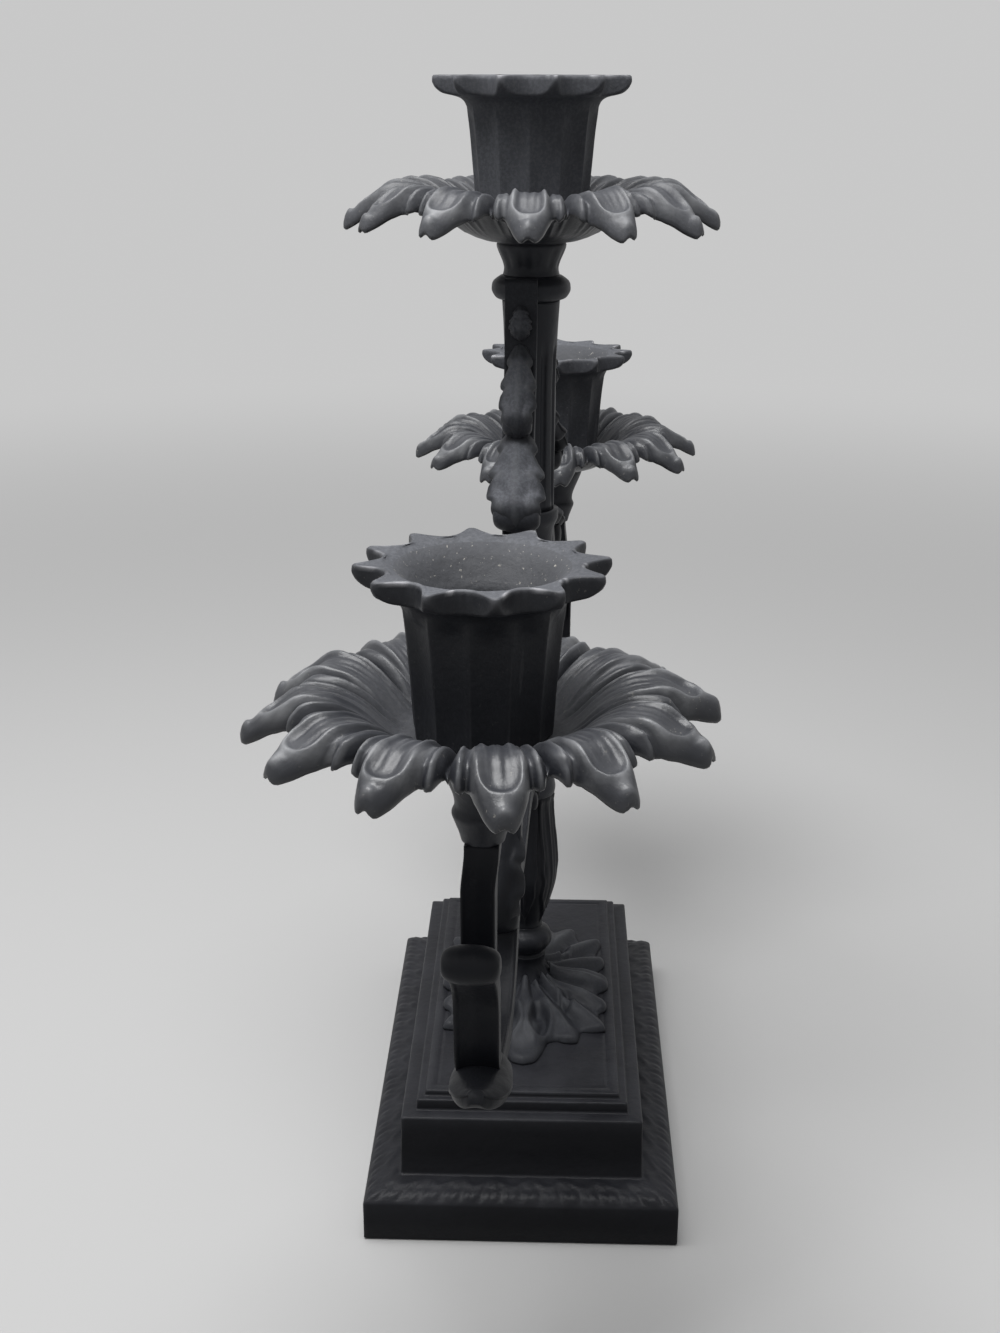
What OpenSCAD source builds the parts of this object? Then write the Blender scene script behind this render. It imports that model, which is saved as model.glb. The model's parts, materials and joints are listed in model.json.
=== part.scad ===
// Three-light candelabra of cast metal, in the rococo manner: a stepped oblong
// plinth, a leafy stem held together by one tie rod, two scrolled arms, and on
// each of the three seats a drip pan of twelve leaves under a fluted candle cup.
// Millimetres, +Z up. The origin is under the middle of the plinth, +X runs
// along the plinth to the front arm, +Y is to the right of someone facing it.

/* [Plinth] */
// Length of the bottom slab, along the arms
slab_len = 150; // [130:1:190]
// Width of the bottom slab
slab_w = 86.4; // [80:0.2:110]
// Height of the slab's upright face
slab_h = 11.8; // [9:0.1:16]
// Rise of the moulding on top of the slab
moulding_h = 2.8; // [2:0.1:5]
// Length of the block at its top edge
block_len = 129; // [110:1:136]
// Width of the block at its top edge
block_w = 67.4; // [60:0.2:72]
// Height of the block
block_h = 17.8; // [14:0.1:26]
// How far the block's foot stands out past its top edge, on each side
batter = 0.8; // [0.2:0.1:2]
// Width of the ledge round the lower step
ledge_1 = 4.1; // [2:0.1:6]
// Height of the lower step
step_1_h = 3.1; // [2:0.1:5]
// Width of the ledge round the upper step
ledge_2 = 2.2; // [1:0.1:3]
// Height of the upper step
step_2_h = 1.6; // [1:0.1:3]
// Wall of the hollow casting
plinth_wall = 4; // [3:0.1:6]

/* [Foot] */
// Reach of the foot's long leaves, along the plinth
foot_leaf_len = 45; // [38:0.5:50]
// Reach of the foot's side leaves, across the plinth
foot_leaf_w = 25.5; // [22:0.5:27]
// Height of the leaf relief over the plinth
relief_h = 3.6; // [2.5:0.1:5]
// Height of the whole foot, up to the knob
foot_h = 12.6; // [10:0.2:18]
// Radius of the foot's neck, under the knob
foot_neck_r = 6.2; // [5.4:0.1:7]

/* [Stem] */
// Radius of the knob
knob_r = 7.9; // [7.4:0.1:10]
// Height of the knob
knob_h = 9.4; // [8:0.2:14]
// Largest radius of the leafy bud
bud_r = 8.8; // [8:0.1:11]
// Height of the leafy bud
bud_h = 44; // [36:0.5:56]
// Thickness of the bud's leaves
bud_leaf_t = 0.7; // [0.4:0.1:1.2]
// Height of the shaft between the bud and the column
shaft_h = 86; // [76:0.5:100]
// Largest radius of the shaft's swelling
shaft_r = 8.4; // [7.4:0.1:10]
// Height of the upper column
column_h = 57.6; // [50:0.2:70]
// Radius of the column at its waist
column_r = 6.8; // [6:0.1:7.2]
// Radius of the column under the ring
column_top_r = 7.8; // [7.4:0.1:8.4]
// Radius of the ring collar
ring_r = 10.6; // [9.8:0.1:12]
// Height of the ring collar
ring_h = 6.4; // [5.6:0.1:9]
// Height of the neck between the ring and the middle pan
neck_h = 8.4; // [7:0.1:12]
// Radius of the neck at its waist
neck_waist_r = 7.3; // [6.4:0.1:8]

/* [Arms] */
// Distance from the stem's axis to the axis of an outer candle
arm_reach = 135; // [120:1:150]
// Turn of the stem and arms on the plinth, in degrees
arm_turn = -3.25; // [-10:0.25:10]
// How far the outer seats lie under the middle seat
seat_drop = 91.5; // [84:0.5:96]
// Width of the arm's strap
strap_w = 8.4; // [7.4:0.1:9.2]
// Thickness of the strap where it starts, at the ring
strap_t = 3.2; // [2.6:0.1:4]
// Thickness of the strap at its thickest, in the lower bend
limb_t = 7; // [5:0.1:8]
// Width of the outward scroll under the pan
scroll_w = 10; // [9:0.1:12]
// Radius of the roll that ends the outward scroll
roll_r = 4.2; // [3.4:0.1:5]
// Length of that roll
roll_w = 12.6; // [11:0.1:15]
// Height of the raised edges along the strap
rail_h = 0.5; // [0.3:0.1:0.9]
// Width of the raised edges along the strap
rail_w = 1.1; // [0.8:0.1:1.6]
// Width of the largest leaf on an arm
arm_leaf_w = 15.4; // [13:0.1:18]
// Thickness of the leaves on an arm
arm_leaf_t = 2.6; // [1.8:0.1:3.4]

/* [Seats] */
// Height of an outer socket, from the arm's boss to the pan
socket_h = 19.2; // [16:0.2:24]
// Radius of every seat's top, where the pan lies
seat_r = 9.3; // [8.6:0.1:11]
// Radius of the boss on the arm that carries the socket
boss_r = 4.5; // [4.1:0.1:5.2]

/* [Drip pan] */
// Radius of a pan to its leaf tips
pan_r = 50; // [44:0.5:56]
// Height of the leaves' crest over the pan's seat
crest_h = 14.4; // [13:0.1:20]
// Height of the leaf tips over the pan's seat
tip_h = 8.4; // [5:0.1:10]
// Height of the pan's floor over its seat
floor_h = 5; // [4:0.1:6.5]
// Thickness of the leaves
pan_leaf_t = 2.4; // [1.8:0.1:3]
// Thickness of the leaves at their tips
leaf_tip_t = 3.2; // [2:0.1:4]
// Number of leaves round a pan
leaf_count = 12; // [10:1:14]
// Turn of the front pan on its seat, in degrees
front_pan_turn = 10; // [-15:1:15]
// Turn of the middle pan on its seat, in degrees
centre_pan_turn = 3; // [-15:1:15]
// Turn of the rear pan on its seat, in degrees
rear_pan_turn = 5; // [-15:0.5:15]

/* [Candle cup] */
// Height of a cup
cup_h = 37; // [32:0.5:44]
// Radius of a cup at its foot
cup_foot_r = 14.4; // [14:0.1:15]
// Radius of a cup's body under the flare
cup_body_r = 16.2; // [15.4:0.1:17]
// Radius of the rim to the tips of its points
rim_r = 26.3; // [24:0.1:30]
// Radius of the rim in the notches between its points
notch_r = 21; // [19:0.1:22.5]
// Thickness of the rim
rim_h = 6; // [4:0.1:8]
// Number of points round the rim
point_count = 12; // [10:1:14]
// Depth of the flutes down the body
flute_d = 0.7; // [0.4:0.1:1]
// Radius of the bore for a 22 mm candle
candle_r = 11.2; // [11:0.05:12]
// Length of that bore
candle_l = 18; // [15:0.5:22]
// Radius of the funnel's mouth
mouth_r = 16.8; // [15:0.1:17.6]
// Turn of the front cup on its seat, in degrees
front_cup_turn = 11; // [-15:1:15]
// Turn of the middle cup on its seat, in degrees
centre_cup_turn = 16; // [-15:1:16]
// Turn of the rear cup on its seat, in degrees
rear_cup_turn = 4; // [-15:1:15]

/* [Fastenings] */
// Radius of the tie rod through the stem
rod_r = 3; // [2.5:0.1:3.2]
// Radius of the studs that carry the pans and cups
stud_r = 2.5; // [2:0.1:2.6]
// Length of a stud above a pan's floor
stud_l = 8; // [6:0.5:9]
// Radius of the base nut, across its flats
nut_r = 5; // [4.8:0.1:6]
// Height of the base nut
nut_h = 5; // [4:0.1:6]
// Radius of the base washer
washer_r = 8; // [7:0.1:10]
// Thickness of the base washer
washer_t = 1.6; // [1:0.1:2.4]
// Radius of the arm screws
screw_r = 2; // [1.5:0.1:2.2]
// Radial clearance of a rod or stud in its bore
bore_gap = 0.08; // [0.05:0.01:0.1]
// Clearance between pieces that are fitted face to face
fit_gap = 0.05; // [0.05:0.05:0.2]

/* [Hidden] */
$fn = 96;

// Colours of the black paint, lighter where it is worn
black = [0.16, 0.165, 0.18];
grey = [0.26, 0.27, 0.29];
steel = [0.5, 0.5, 0.52];

// Every cut runs this far past the faces that it goes through
over = 1;

// Heights, from the table up
moulding_z = slab_h + moulding_h;
block_z = moulding_z + block_h;
step_z = block_z + step_1_h;
plinth_z = step_z + step_2_h;
knob_z = plinth_z + foot_h;
bud_z = knob_z + knob_h;
shaft_z = bud_z + bud_h;
column_z = shaft_z + shaft_h;
ring_z = column_z + column_h;
neck_z = ring_z + ring_h;
seat_z = neck_z + neck_h;
outer_seat_z = seat_z - seat_drop;
socket_z = outer_seat_z - socket_h;

// Half sizes of the plinth's parts
slab_x = slab_len / 2;
slab_y = slab_w / 2;
block_x = block_len / 2;
block_y = block_w / 2;

// A point on a smooth curve through four points, at share t of the middle span
function blend(a, b, c, d, t) =
  0.5 * ((2 * b) + (c - a) * t + (2 * a - 5 * b + 4 * c - d) * t * t
    + (3 * b - a - 3 * c + d) * t * t * t);

// A smooth curve through the points p, with n steps to a span
function smooth(p, n) = [
  for (i = [0 : len(p) - 2])
    let (
      a = i == 0 ? 2 * p[0] - p[1] : p[i - 1],
      d = i == len(p) - 2 ? 2 * p[i + 1] - p[i] : p[i + 2]
    )
    for (k = [0 : n - (i == len(p) - 2 ? 0 : 1)])
      blend(a, p[i], p[i + 1], d, k / n)
];

// The same curve in whatever is listed beside the points, such as a thickness
function heading(p, i) =
  let (q = p[min(i + 1, len(p) - 1)] - p[max(i - 1, 0)])
  [q[0], q[1]] / norm([q[0], q[1]]);

// The outline of a band along points [x, z, thickness]
function band(p, grow = 0) = concat(
  [for (i = [0 : len(p) - 1])
    let (h = heading(p, i), t = p[i][2] / 2 + grow)
    [p[i][0] - h[1] * t, p[i][1] + h[0] * t]],
  [for (i = [len(p) - 1 : -1 : 0])
    let (h = heading(p, i), t = p[i][2] / 2 + grow)
    [p[i][0] + h[1] * t, p[i][1] - h[0] * t]]
);

// A side outline in x and z, given a width across it
module across(width) {
  rotate([90, 0, 0])
    linear_extrude(width, center = true)
      children();
}

// A closed surface on a polar grid: columns round, rings from the middle out.
// top and low list one row of points for each ring, both with the same edge.
module polar_solid(top, low, columns) {
  tops = len(top);
  lows = len(low);
  points = concat([for (row = top) each row], [for (row = low) each row]);
  base = tops * columns;
  faces = concat(
    [for (r = [0 : tops - 2], c = [0 : columns - 1])
      let (e = (c + 1) % columns, a = r * columns, b = a + columns)
      each [[a + c, b + e, b + c], [a + c, a + e, b + e]]],
    [for (r = [0 : lows - 2], c = [0 : columns - 1])
      let (e = (c + 1) % columns, a = base + r * columns, b = a + columns)
      each [[a + c, b + c, b + e], [a + c, b + e, a + e]]],
    [for (c = [0 : columns - 1])
      let (e = (c + 1) % columns, a = base - columns, b = base + (lows - 1) * columns)
      each [[a + c, a + e, b + e], [a + c, b + e, b + c]]],
    [[for (c = [columns - 1 : -1 : 0]) c]],
    [[for (c = [0 : columns - 1]) base + c]]
  );
  polyhedron(points, faces, convexity = 6);
}

// What sits on the stem turns with it
module on_stem() {
  rotate([0, 0, arm_turn])
    children();
}

// The rear arm is the front arm turned half round
module on_rear() {
  on_stem()
    rotate([0, 0, 180])
      children();
}

// Shares of the moulding's run and rise, from the slab's edge to the block
moulding_shares = [[0, 0], [0.08, 0.34], [0.24, 0.58], [0.42, 0.52], [0.6, 0.42],
  [0.8, 0.56], [1, 1]];

// One side of the plinth's outline, for a slab and block of half widths a and b
function plinth_side(a, b) = concat(
  [[a, 0]],
  [for (s = moulding_shares)
    [a + s[0] * (b + batter - a), slab_h + s[1] * moulding_h]],
  [[b, block_z], [b - ledge_1, block_z], [b - ledge_1, step_z],
    [b - ledge_1 - ledge_2, step_z], [b - ledge_1 - ledge_2, plinth_z]]
);

// The same moulded outline on both sides of a middle line, as a bar
module plinth_bar(a, b, length) {
  side = plinth_side(a, b);
  linear_extrude(length, center = true)
    polygon(concat(side,
      [for (i = [len(side) - 1 : -1 : 0]) [-side[i][0], side[i][1]]]));
}

// Depth of the plinth's ceiling under the upper step, and the boss for the rod
ceiling_z = step_z - plinth_wall;
rod_boss_r = washer_r + washer_t / 2;
rod_boss_z = slab_h + moulding_h / 2;

// Hollow casting: slab, moulding, block and two steps, mitred at the corners
module plinth() {
  color(black)
    difference() {
      intersection() {
        rotate([90, 0, 0])
          plinth_bar(slab_x, block_x, slab_w);
        rotate([90, 0, 90])
          plinth_bar(slab_y, block_y, slab_len);
      }
      difference() {
        union() {
          slab_hollow_h = slab_h - plinth_wall / 2;
          translate([0, 0, (slab_hollow_h - over) / 2])
            cube([slab_len - 2 * plinth_wall, slab_w - 2 * plinth_wall,
              slab_hollow_h + over], center = true);
          translate([0, 0, ceiling_z / 2])
            cube([block_len - 2 * plinth_wall, block_w - 2 * plinth_wall, ceiling_z],
              center = true);
        }
        translate([0, 0, rod_boss_z])
          cylinder(ceiling_z, r = rod_boss_r);
      }
      translate([0, 0, rod_boss_z - over])
        cylinder(plinth_z, r = rod_r + bore_gap);
    }
}

// Outline of the foot's leaves by angle: shares of the long reach, for the
// quarter from the long leaf round to the side leaf
foot_outline_shares = [1, 0.93, 0.78, 0.74, 0.82, 0.87, 0.8, 0.82, 0.95, 0.92, 0.84,
  0.78, 0.72, 0.8, 0.88, 0.84, 0.96, 1];
foot_steps = len(foot_outline_shares) - 1;
foot_columns = 4 * foot_steps;

// Share of the reach at column c, folded into one quarter
function folded(c) =
  let (q = c % (2 * foot_steps))
  q <= foot_steps ? q : 2 * foot_steps - q;

// Reach of the leaves at column c: long along X, short along Y
function foot_reach(c) =
  let (q = folded(c), a = 90 * q / foot_steps)
  foot_outline_shares[q] * norm([foot_leaf_len * cos(a), foot_leaf_w * sin(a)]);

// Height of the relief at column c and share t of the reach
foot_rise_shares = [1, 0.8, 0.5, 0.4, 0.62, 0.8, 0.5, 0.55, 0.9, 0.7, 0.6, 0.4, 0.36,
  0.55, 0.8, 0.5, 0.8, 1];
function foot_rise(c, t) =
  t == 0
    ? relief_h / 2
    : relief_h * (0.3 + 0.7 * foot_rise_shares[folded(c)] * sin(30 + 130 * t));

// Radius of the foot's cone where it stands on the flat disc between the leaves
foot_cone_r = foot_neck_r * 1.9;
foot_disc_r = foot_cone_r * 1.1;
foot_ring_shares = [0, 0.25, 0.5, 0.78, 1];

// A point of the leaves at column c and share t of the way out from the disc
function foot_point(c, t, z) =
  let (
    a = 360 * c / foot_columns,
    r = foot_disc_r + t * (foot_reach(c) - foot_disc_r)
  )
  [r * cos(a), r * sin(a), plinth_z + z];

// Four spread leaves round a waisted cone, bored for the rod
module foot_leaves() {
  top = [for (t = foot_ring_shares)
    [for (c = [0 : foot_columns - 1]) foot_point(c, t, foot_rise(c, t))]];
  low = [for (t = [0, 1])
    [for (c = [0 : foot_columns - 1]) foot_point(c, t, 0)]];
  cone_shares = [[1, 0], [0.96, 0.3], [0.72, 0.5], [0.56, 0.68], [0.5, 0.84], [0.53, 1]];
  color(grey)
    difference() {
      union() {
        polar_solid(top, low, foot_columns);
        rotate_extrude()
          polygon(concat([[0, plinth_z]],
            [for (s = smooth(cone_shares, 3)) [s[0] * foot_cone_r, plinth_z + s[1] * foot_h]],
            [[0, knob_z]]));
      }
      translate([0, 0, plinth_z - over])
        cylinder(foot_h + 2 * over, r = rod_r + bore_gap);
    }
}

// A turned piece: shares of a radius and of a height, above height z
module turned(shares, r, z, h, n = 4) {
  rotate_extrude()
    polygon(concat([[0, z]], [for (s = smooth(shares, n)) [s[0] * r, z + s[1] * h]],
      [[0, z + h]]));
}

// The rod's hole through a piece that stands from z to z + h
module rod_hole(z, h, r = rod_r) {
  translate([0, 0, z - over])
    cylinder(h + 2 * over, r = r + bore_gap);
}

// Squat knob over the foot
module foot_knob() {
  knob_shares = [[0.74, 0], [0.72, 0.1], [0.95, 0.3], [1, 0.5], [0.93, 0.7], [0.66, 0.88],
    [0.62, 1]];
  color(grey)
    on_stem()
      difference() {
        turned(knob_shares, knob_r, knob_z, knob_h);
        rod_hole(knob_z, knob_h);
      }
}

bud_shares = [[0.56, 0], [0.58, 0.06], [0.76, 0.2], [0.95, 0.34], [1, 0.45], [0.96, 0.6],
  [0.86, 0.78], [0.8, 0.92], [0.86, 1]];
bud_leaves = 6;

// Bud that narrows to a point at its foot, wrapped in hanging leaves
module leaf_bud() {
  bud_leaf_shares = [[0, 0.05], [0.34, 0.18], [0.62, 0.34], [0.8, 0.52], [0.62, 0.66],
    [0.74, 0.8], [0.5, 0.96]];
  half = 180 / bud_leaves;
  leaf_edge = [for (s = smooth(bud_leaf_shares, 3))
    [s[0] * bud_r * tan(half), bud_z + s[1] * bud_h]];
  color(grey)
    on_stem()
      difference() {
        union() {
          turned(bud_shares, bud_r, bud_z, bud_h);
          intersection() {
            turned([for (s = bud_shares) [s[0] + bud_leaf_t / bud_r, s[1]]],
              bud_r, bud_z, bud_h);
            for (k = [0 : bud_leaves - 1])
              rotate([90, 0, 360 * k / bud_leaves + 90])
                linear_extrude(bud_r + bud_leaf_t + over)
                  polygon(concat(leaf_edge,
                    [for (i = [len(leaf_edge) - 1 : -1 : 0]) [-leaf_edge[i][0], leaf_edge[i][1]]]));
          }
        }
        rod_hole(bud_z, bud_h);
      }
}

// Flat faces on the shaft where the arms' feet are screwed on
pad_h = shaft_h * 0.19;
pad_z = shaft_z + shaft_h * 0.03;
pad_x = shaft_r;
screw_z = pad_z + pad_h * 0.78;
screw_tip_x = rod_r + stud_r / 2;

// Baluster shaft with a squared seat for the two arms
module stem_shaft() {
  shaft_shares = [[0.98, 0], [1, 0.02], [0.78, 0.2], [0.72, 0.26], [0.86, 0.42], [1, 0.55],
    [0.94, 0.7], [0.78, 0.86], [0.8, 0.93], [0.96, 0.97], [0.96, 1]];
  color(black)
    on_stem()
      difference() {
        union() {
          turned(shaft_shares, shaft_r, shaft_z, shaft_h);
          translate([0, 0, pad_z + pad_h / 2])
            cube([2 * pad_x, strap_w, pad_h], center = true);
        }
        rod_hole(shaft_z, shaft_h);
        for (side = [0, 180])
          rotate([0, 0, side])
            translate([screw_tip_x, 0, screw_z])
              rotate([0, 90, 0])
                cylinder(pad_x, r = screw_r + bore_gap);
      }
}

column_flutes = 10;

// Slim fluted column, wider under the ring
module upper_column() {
  waist_share = column_r / column_top_r;
  column_shares = [[waist_share, 0], [waist_share, 0.3], [waist_share, 0.6],
    [(1 + waist_share) / 2, 0.85], [1, 1]];
  flute_r = column_r * 0.28;
  color(black)
    on_stem()
      difference() {
        turned(column_shares, column_top_r, column_z, column_h);
        for (k = [0 : column_flutes - 1])
          rotate([0, 0, 360 * (k + 0.5) / column_flutes])
            translate([column_r + flute_r * 0.8, 0, column_z + column_h * 0.04])
              cylinder(column_h * 0.7, r = flute_r);
        rod_hole(column_z, column_h);
      }
}

// Distance from the axis to the ring's two flats, where the arms' straps lie
ring_flat = ring_r - ring_h * 0.25;
lug_w = strap_w * 0.45;
lug_h = ring_h * 0.4;
lug_l = (ring_flat - rod_r) * 0.4;

// Rounded ring with a flat and a slot on each side for the arms' top lugs
module ring_collar() {
  ring_shares = [[0.72, 0], [0.9, 0.12], [1, 0.4], [0.98, 0.66], [0.8, 0.9], [0.72, 1]];
  color(black)
    on_stem()
      difference() {
        turned(ring_shares, ring_r, ring_z, ring_h);
        rod_hole(ring_z, ring_h);
        for (side = [0, 180])
          rotate([0, 0, side]) {
            translate([ring_flat, -ring_r, ring_z - over])
              cube([ring_r, 2 * ring_r, ring_h + 2 * over]);
            translate([ring_flat - lug_l - fit_gap, -lug_w / 2 - fit_gap,
                ring_z + (ring_h - lug_h) / 2 - fit_gap])
              cube([ring_r, lug_w + 2 * fit_gap, lug_h + 2 * fit_gap]);
          }
      }
}

// Waisted neck that flares out under the middle pan
module neck() {
  waist_share = neck_waist_r / seat_r;
  neck_shares = [[waist_share + 0.02, 0], [waist_share, 0.2], [waist_share + 0.04, 0.4],
    [0.97, 0.78], [1, 0.9], [0.98, 1]];
  color(black)
    on_stem()
      difference() {
        turned(neck_shares, seat_r, neck_z, neck_h);
        rod_hole(neck_z, neck_h);
      }
}

// The arm's line, from the ring down and out to the toe, as shares of the
// reach and of the height between its lowest bend and the ring
limb_shares = [[0.1, 0.86], [0.145, 0.75], [0.215, 0.645], [0.315, 0.545],
  [0.425, 0.45], [0.52, 0.35], [0.585, 0.24], [0.63, 0.135], [0.7, 0.045],
  [0.805, 0], [0.9, 0.006], [0.99, 0.02], [1.04, 0.029]];
limb_thick_shares = [0.62, 0.72, 0.82, 0.9, 0.96, 1, 1, 1, 1, 0.96, 0.84, 0.66, 0.5];
bend_z = plinth_z + (ring_z - plinth_z) * 0.252;
rise = ring_z - bend_z;
strap_x = ring_flat + fit_gap + strap_t / 2;

// A point of the arm from its shares
function arm_at(s) = [s[0] * arm_reach, bend_z + s[1] * rise];

limb_points = concat(
  [[strap_x, neck_z, strap_t], [strap_x, ring_z, strap_t],
    [strap_x, ring_z - ring_h, strap_t]],
  [for (i = [0 : len(limb_shares) - 1])
    let (p = arm_at(limb_shares[i]))
    [p[0], p[1], limb_thick_shares[i] * limb_t]]
);

// Centre of the roll, and the outward scroll that rises to it from the limb
roll_at = arm_at([1.15, 0.266]);
scroll_shares = [[1, 0.02], [1.015, 0.07], [1.02, 0.12], [1.03, 0.165], [1.06, 0.204],
  [1.1, 0.234], [1.13, 0.254]];
scroll_thick_shares = [0.7, 0.76, 0.76, 0.74, 0.7, 0.66, 0.6];
scroll_points = [for (i = [0 : len(scroll_shares) - 1])
  let (p = arm_at(scroll_shares[i]))
  [p[0], p[1], scroll_thick_shares[i] * limb_t]];

// The riser from the scroll's back up to the boss under the socket
boss_h = socket_h * 0.5;
riser_shares = [[1.018, 0.15], [1.006, 0.2], [1.002, 0.25]];
riser_w = 0.88 * strap_w;
riser_points = concat(
  [for (s = riser_shares) let (p = arm_at(s)) [p[0], p[1], 0.9 * limb_t]],
  [[arm_reach, socket_z - boss_h, 1.7 * boss_r],
    [arm_reach, socket_z - boss_h * 0.5, 1.9 * boss_r]]
);

// The lower bridge, from the arm's foot at the stem out to the limb
bridge_shares = [[0.15, 0.142], [0.25, 0.138], [0.35, 0.112], [0.45, 0.108],
  [0.53, 0.15], [0.585, 0.215]];
foot_x = pad_x + fit_gap;
foot_t = strap_t;
bridge_points = concat(
  [[foot_x, pad_z + pad_h * 0.2, 0.6 * limb_t]],
  [for (s = bridge_shares) let (p = arm_at(s)) [p[0], p[1], 0.62 * limb_t]]
);

// Roll under the bridge's inner end
curl_r = 0.8 * roll_r;
curl_x = foot_x + foot_t + curl_r * 0.8;
curl_z = pad_z + pad_h * 0.2 - curl_r * 0.9;

// A strap along points, with a raised edge down each side
module strap(points, width, n = 5) {
  line = smooth(points, n);
  across(width)
    polygon(band(line));
  for (side = [-1, 1])
    translate([0, side * (width - rail_w) / 2, 0])
      across(rail_w)
        polygon(band(line, rail_h));
}

// Shares of a leaf's length and rise along its spine, of its thickness there,
// and of its half width
spine_shares = [[0, 0], [0.26, 0.1], [0.52, 0.22], [0.76, 0.32], [0.94, 0.3],
  [1.02, 0.17], [0.95, 0.05], [0.86, 0.06]];
spine_thick_shares = [2.2, 2.4, 2.2, 1.9, 1.7, 1.5, 1.3, 1];
edge_shares = [[0, 0.4], [0.16, 0.66], [0.24, 0.62], [0.4, 0.92], [0.5, 0.86], [0.66, 1],
  [0.76, 0.86], [0.92, 0.74], [1.04, 0.6], [1.16, 0.36]];

// One acanthus leaf that rises from its root and rolls over at its tip, with
// its root at p, running at the angle turn below level, length by width
module curl_leaf(p, turn, length, width) {
  thick = min(arm_leaf_t, 0.12 * length);
  spine = smooth([for (i = [0 : len(spine_shares) - 1])
    let (s = spine_shares[i])
    [s[0] * length, s[1] * length, thick * spine_thick_shares[i]]], 4);
  edge = smooth(edge_shares, 2);
  translate([p[0], 0, p[1]])
    rotate([0, turn, 0])
      intersection() {
        across(width)
          polygon(band(spine));
        translate([0, 0, -length])
          linear_extrude(2 * length)
            polygon(concat(
              [for (e = edge) [e[0] * length, e[1] * width / 2]],
              [for (i = [len(edge) - 1 : -1 : 0])
                [edge[i][0] * length, -edge[i][1] * width / 2]]));
      }
}

// Where each leaf grows: shares of the arm, angle, and shares of the reach and
// of the largest leaf's width
arm_leaf_shares = [
  [0.086, 1.01, 80, 0.07, 0.42],
  [0.092, 0.925, 73, 0.16, 0.64],
  [0.14, 0.79, 62, 0.19, 1],
  [0.3, 0.575, 44, 0.25, 0.92],
  [0.56, 0.29, 72, 0.24, 0.96]
];

// Toe leaf that ends the limb: shares of its length and of its half width
toe_edge_shares = [[0, 0.5], [0.14, 0.84], [0.24, 0.8], [0.4, 1], [0.62, 0.94], [0.8, 0.74],
  [0.93, 0.42], [1, 0.12]];
toe_points = [for (s = [[0.95, 0.014, 0.8], [1.02, 0.026, 0.72], [1.08, 0.034, 0.6],
    [1.13, 0.042, 0.5]])
  let (p = arm_at(s)) [p[0], p[1], s[2] * limb_t]];
toe_x = toe_points[0][0];
toe_l = arm_reach * 1.125 - toe_x;
toe_w = 0.9 * arm_leaf_w;
module toe() {
  edge = smooth(toe_edge_shares, 2);
  intersection() {
    across(toe_w)
      polygon(band(smooth(toe_points, 4)));
    translate([0, 0, bend_z - limb_t])
      linear_extrude(4 * limb_t)
        polygon(concat(
          [for (e = edge) [toe_x + e[0] * toe_l, e[1] * toe_w / 2]],
          [for (i = [len(edge) - 1 : -1 : 0])
            [toe_x + edge[i][0] * toe_l, -edge[i][1] * toe_w / 2]]));
  }
}

// Strap, scroll, riser, bridge and leaves, before anything is cut from them
module arm_forms() {
  strap(limb_points, strap_w);
  strap(scroll_points, scroll_w);
  strap(riser_points, riser_w);
  strap(bridge_points, strap_w, 4);
  translate([roll_at[0], 0, roll_at[1]])
    rotate([90, 0, 0])
      cylinder(roll_w, r = roll_r, center = true);
  translate([curl_x, 0, curl_z])
    rotate([90, 0, 0])
      cylinder(strap_w, r = curl_r, center = true);
  translate([foot_x, -strap_w / 2, pad_z])
    cube([foot_t, strap_w, pad_h]);
  translate([arm_reach, 0, socket_z - boss_h])
    cylinder(boss_h, r = boss_r);
  for (s = arm_leaf_shares)
    curl_leaf(arm_at(s), s[2], s[3] * arm_reach, s[4] * arm_leaf_w);
  toe();
}

// One arm casting, along +X from the stem
module arm() {
  difference() {
    arm_forms();
    // The arm's inner side stops at the ring's flat and at the shaft's pad
    translate([ring_flat + fit_gap - arm_reach, -arm_leaf_w, ring_z])
      cube([arm_reach, 2 * arm_leaf_w, arm_reach]);
    translate([foot_x - arm_reach, -arm_leaf_w, bend_z])
      cube([arm_reach, 2 * arm_leaf_w, ring_z - bend_z]);
    translate([arm_reach, 0, socket_z - boss_h + boss_r * 0.4])
      cylinder(boss_h + over, r = stud_r + bore_gap);
    translate([foot_x - over, 0, screw_z])
      rotate([0, 90, 0])
        cylinder(foot_t + 2 * over, r = screw_r + bore_gap);
  }
  translate([ring_flat - lug_l, -lug_w / 2, ring_z + (ring_h - lug_h) / 2])
    cube([lug_l + strap_t, lug_w, lug_h]);
}

module front_arm() {
  color(black)
    on_stem()
      arm();
}

module rear_arm() {
  color(black)
    on_rear()
      arm();
}

// Turned socket between an arm's boss and its pan, bored for the stud
module socket() {
  socket_shares = [[0.5, 0], [0.56, 0.1], [0.66, 0.24], [0.72, 0.33], [0.66, 0.42],
    [0.7, 0.56], [0.88, 0.78], [1, 0.93], [0.98, 1]];
  difference() {
    translate([arm_reach, 0, 0])
      turned(socket_shares, seat_r, socket_z, socket_h);
    translate([arm_reach, 0, 0])
      rod_hole(socket_z, socket_h, stud_r);
  }
}

module front_socket() {
  color(black)
    on_stem()
      socket();
}

module rear_socket() {
  color(black)
    on_rear()
      socket();
}

// Stud from inside an arm's boss up into the cup
module stud() {
  foot_z = socket_z - boss_h + boss_r * 0.4 + fit_gap;
  translate([arm_reach, 0, foot_z])
    cylinder(outer_seat_z + floor_h + stud_l - foot_z, r = stud_r);
}

module front_stud() {
  color(steel)
    on_stem()
      stud();
}

module rear_stud() {
  color(steel)
    on_rear()
      stud();
}

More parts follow.
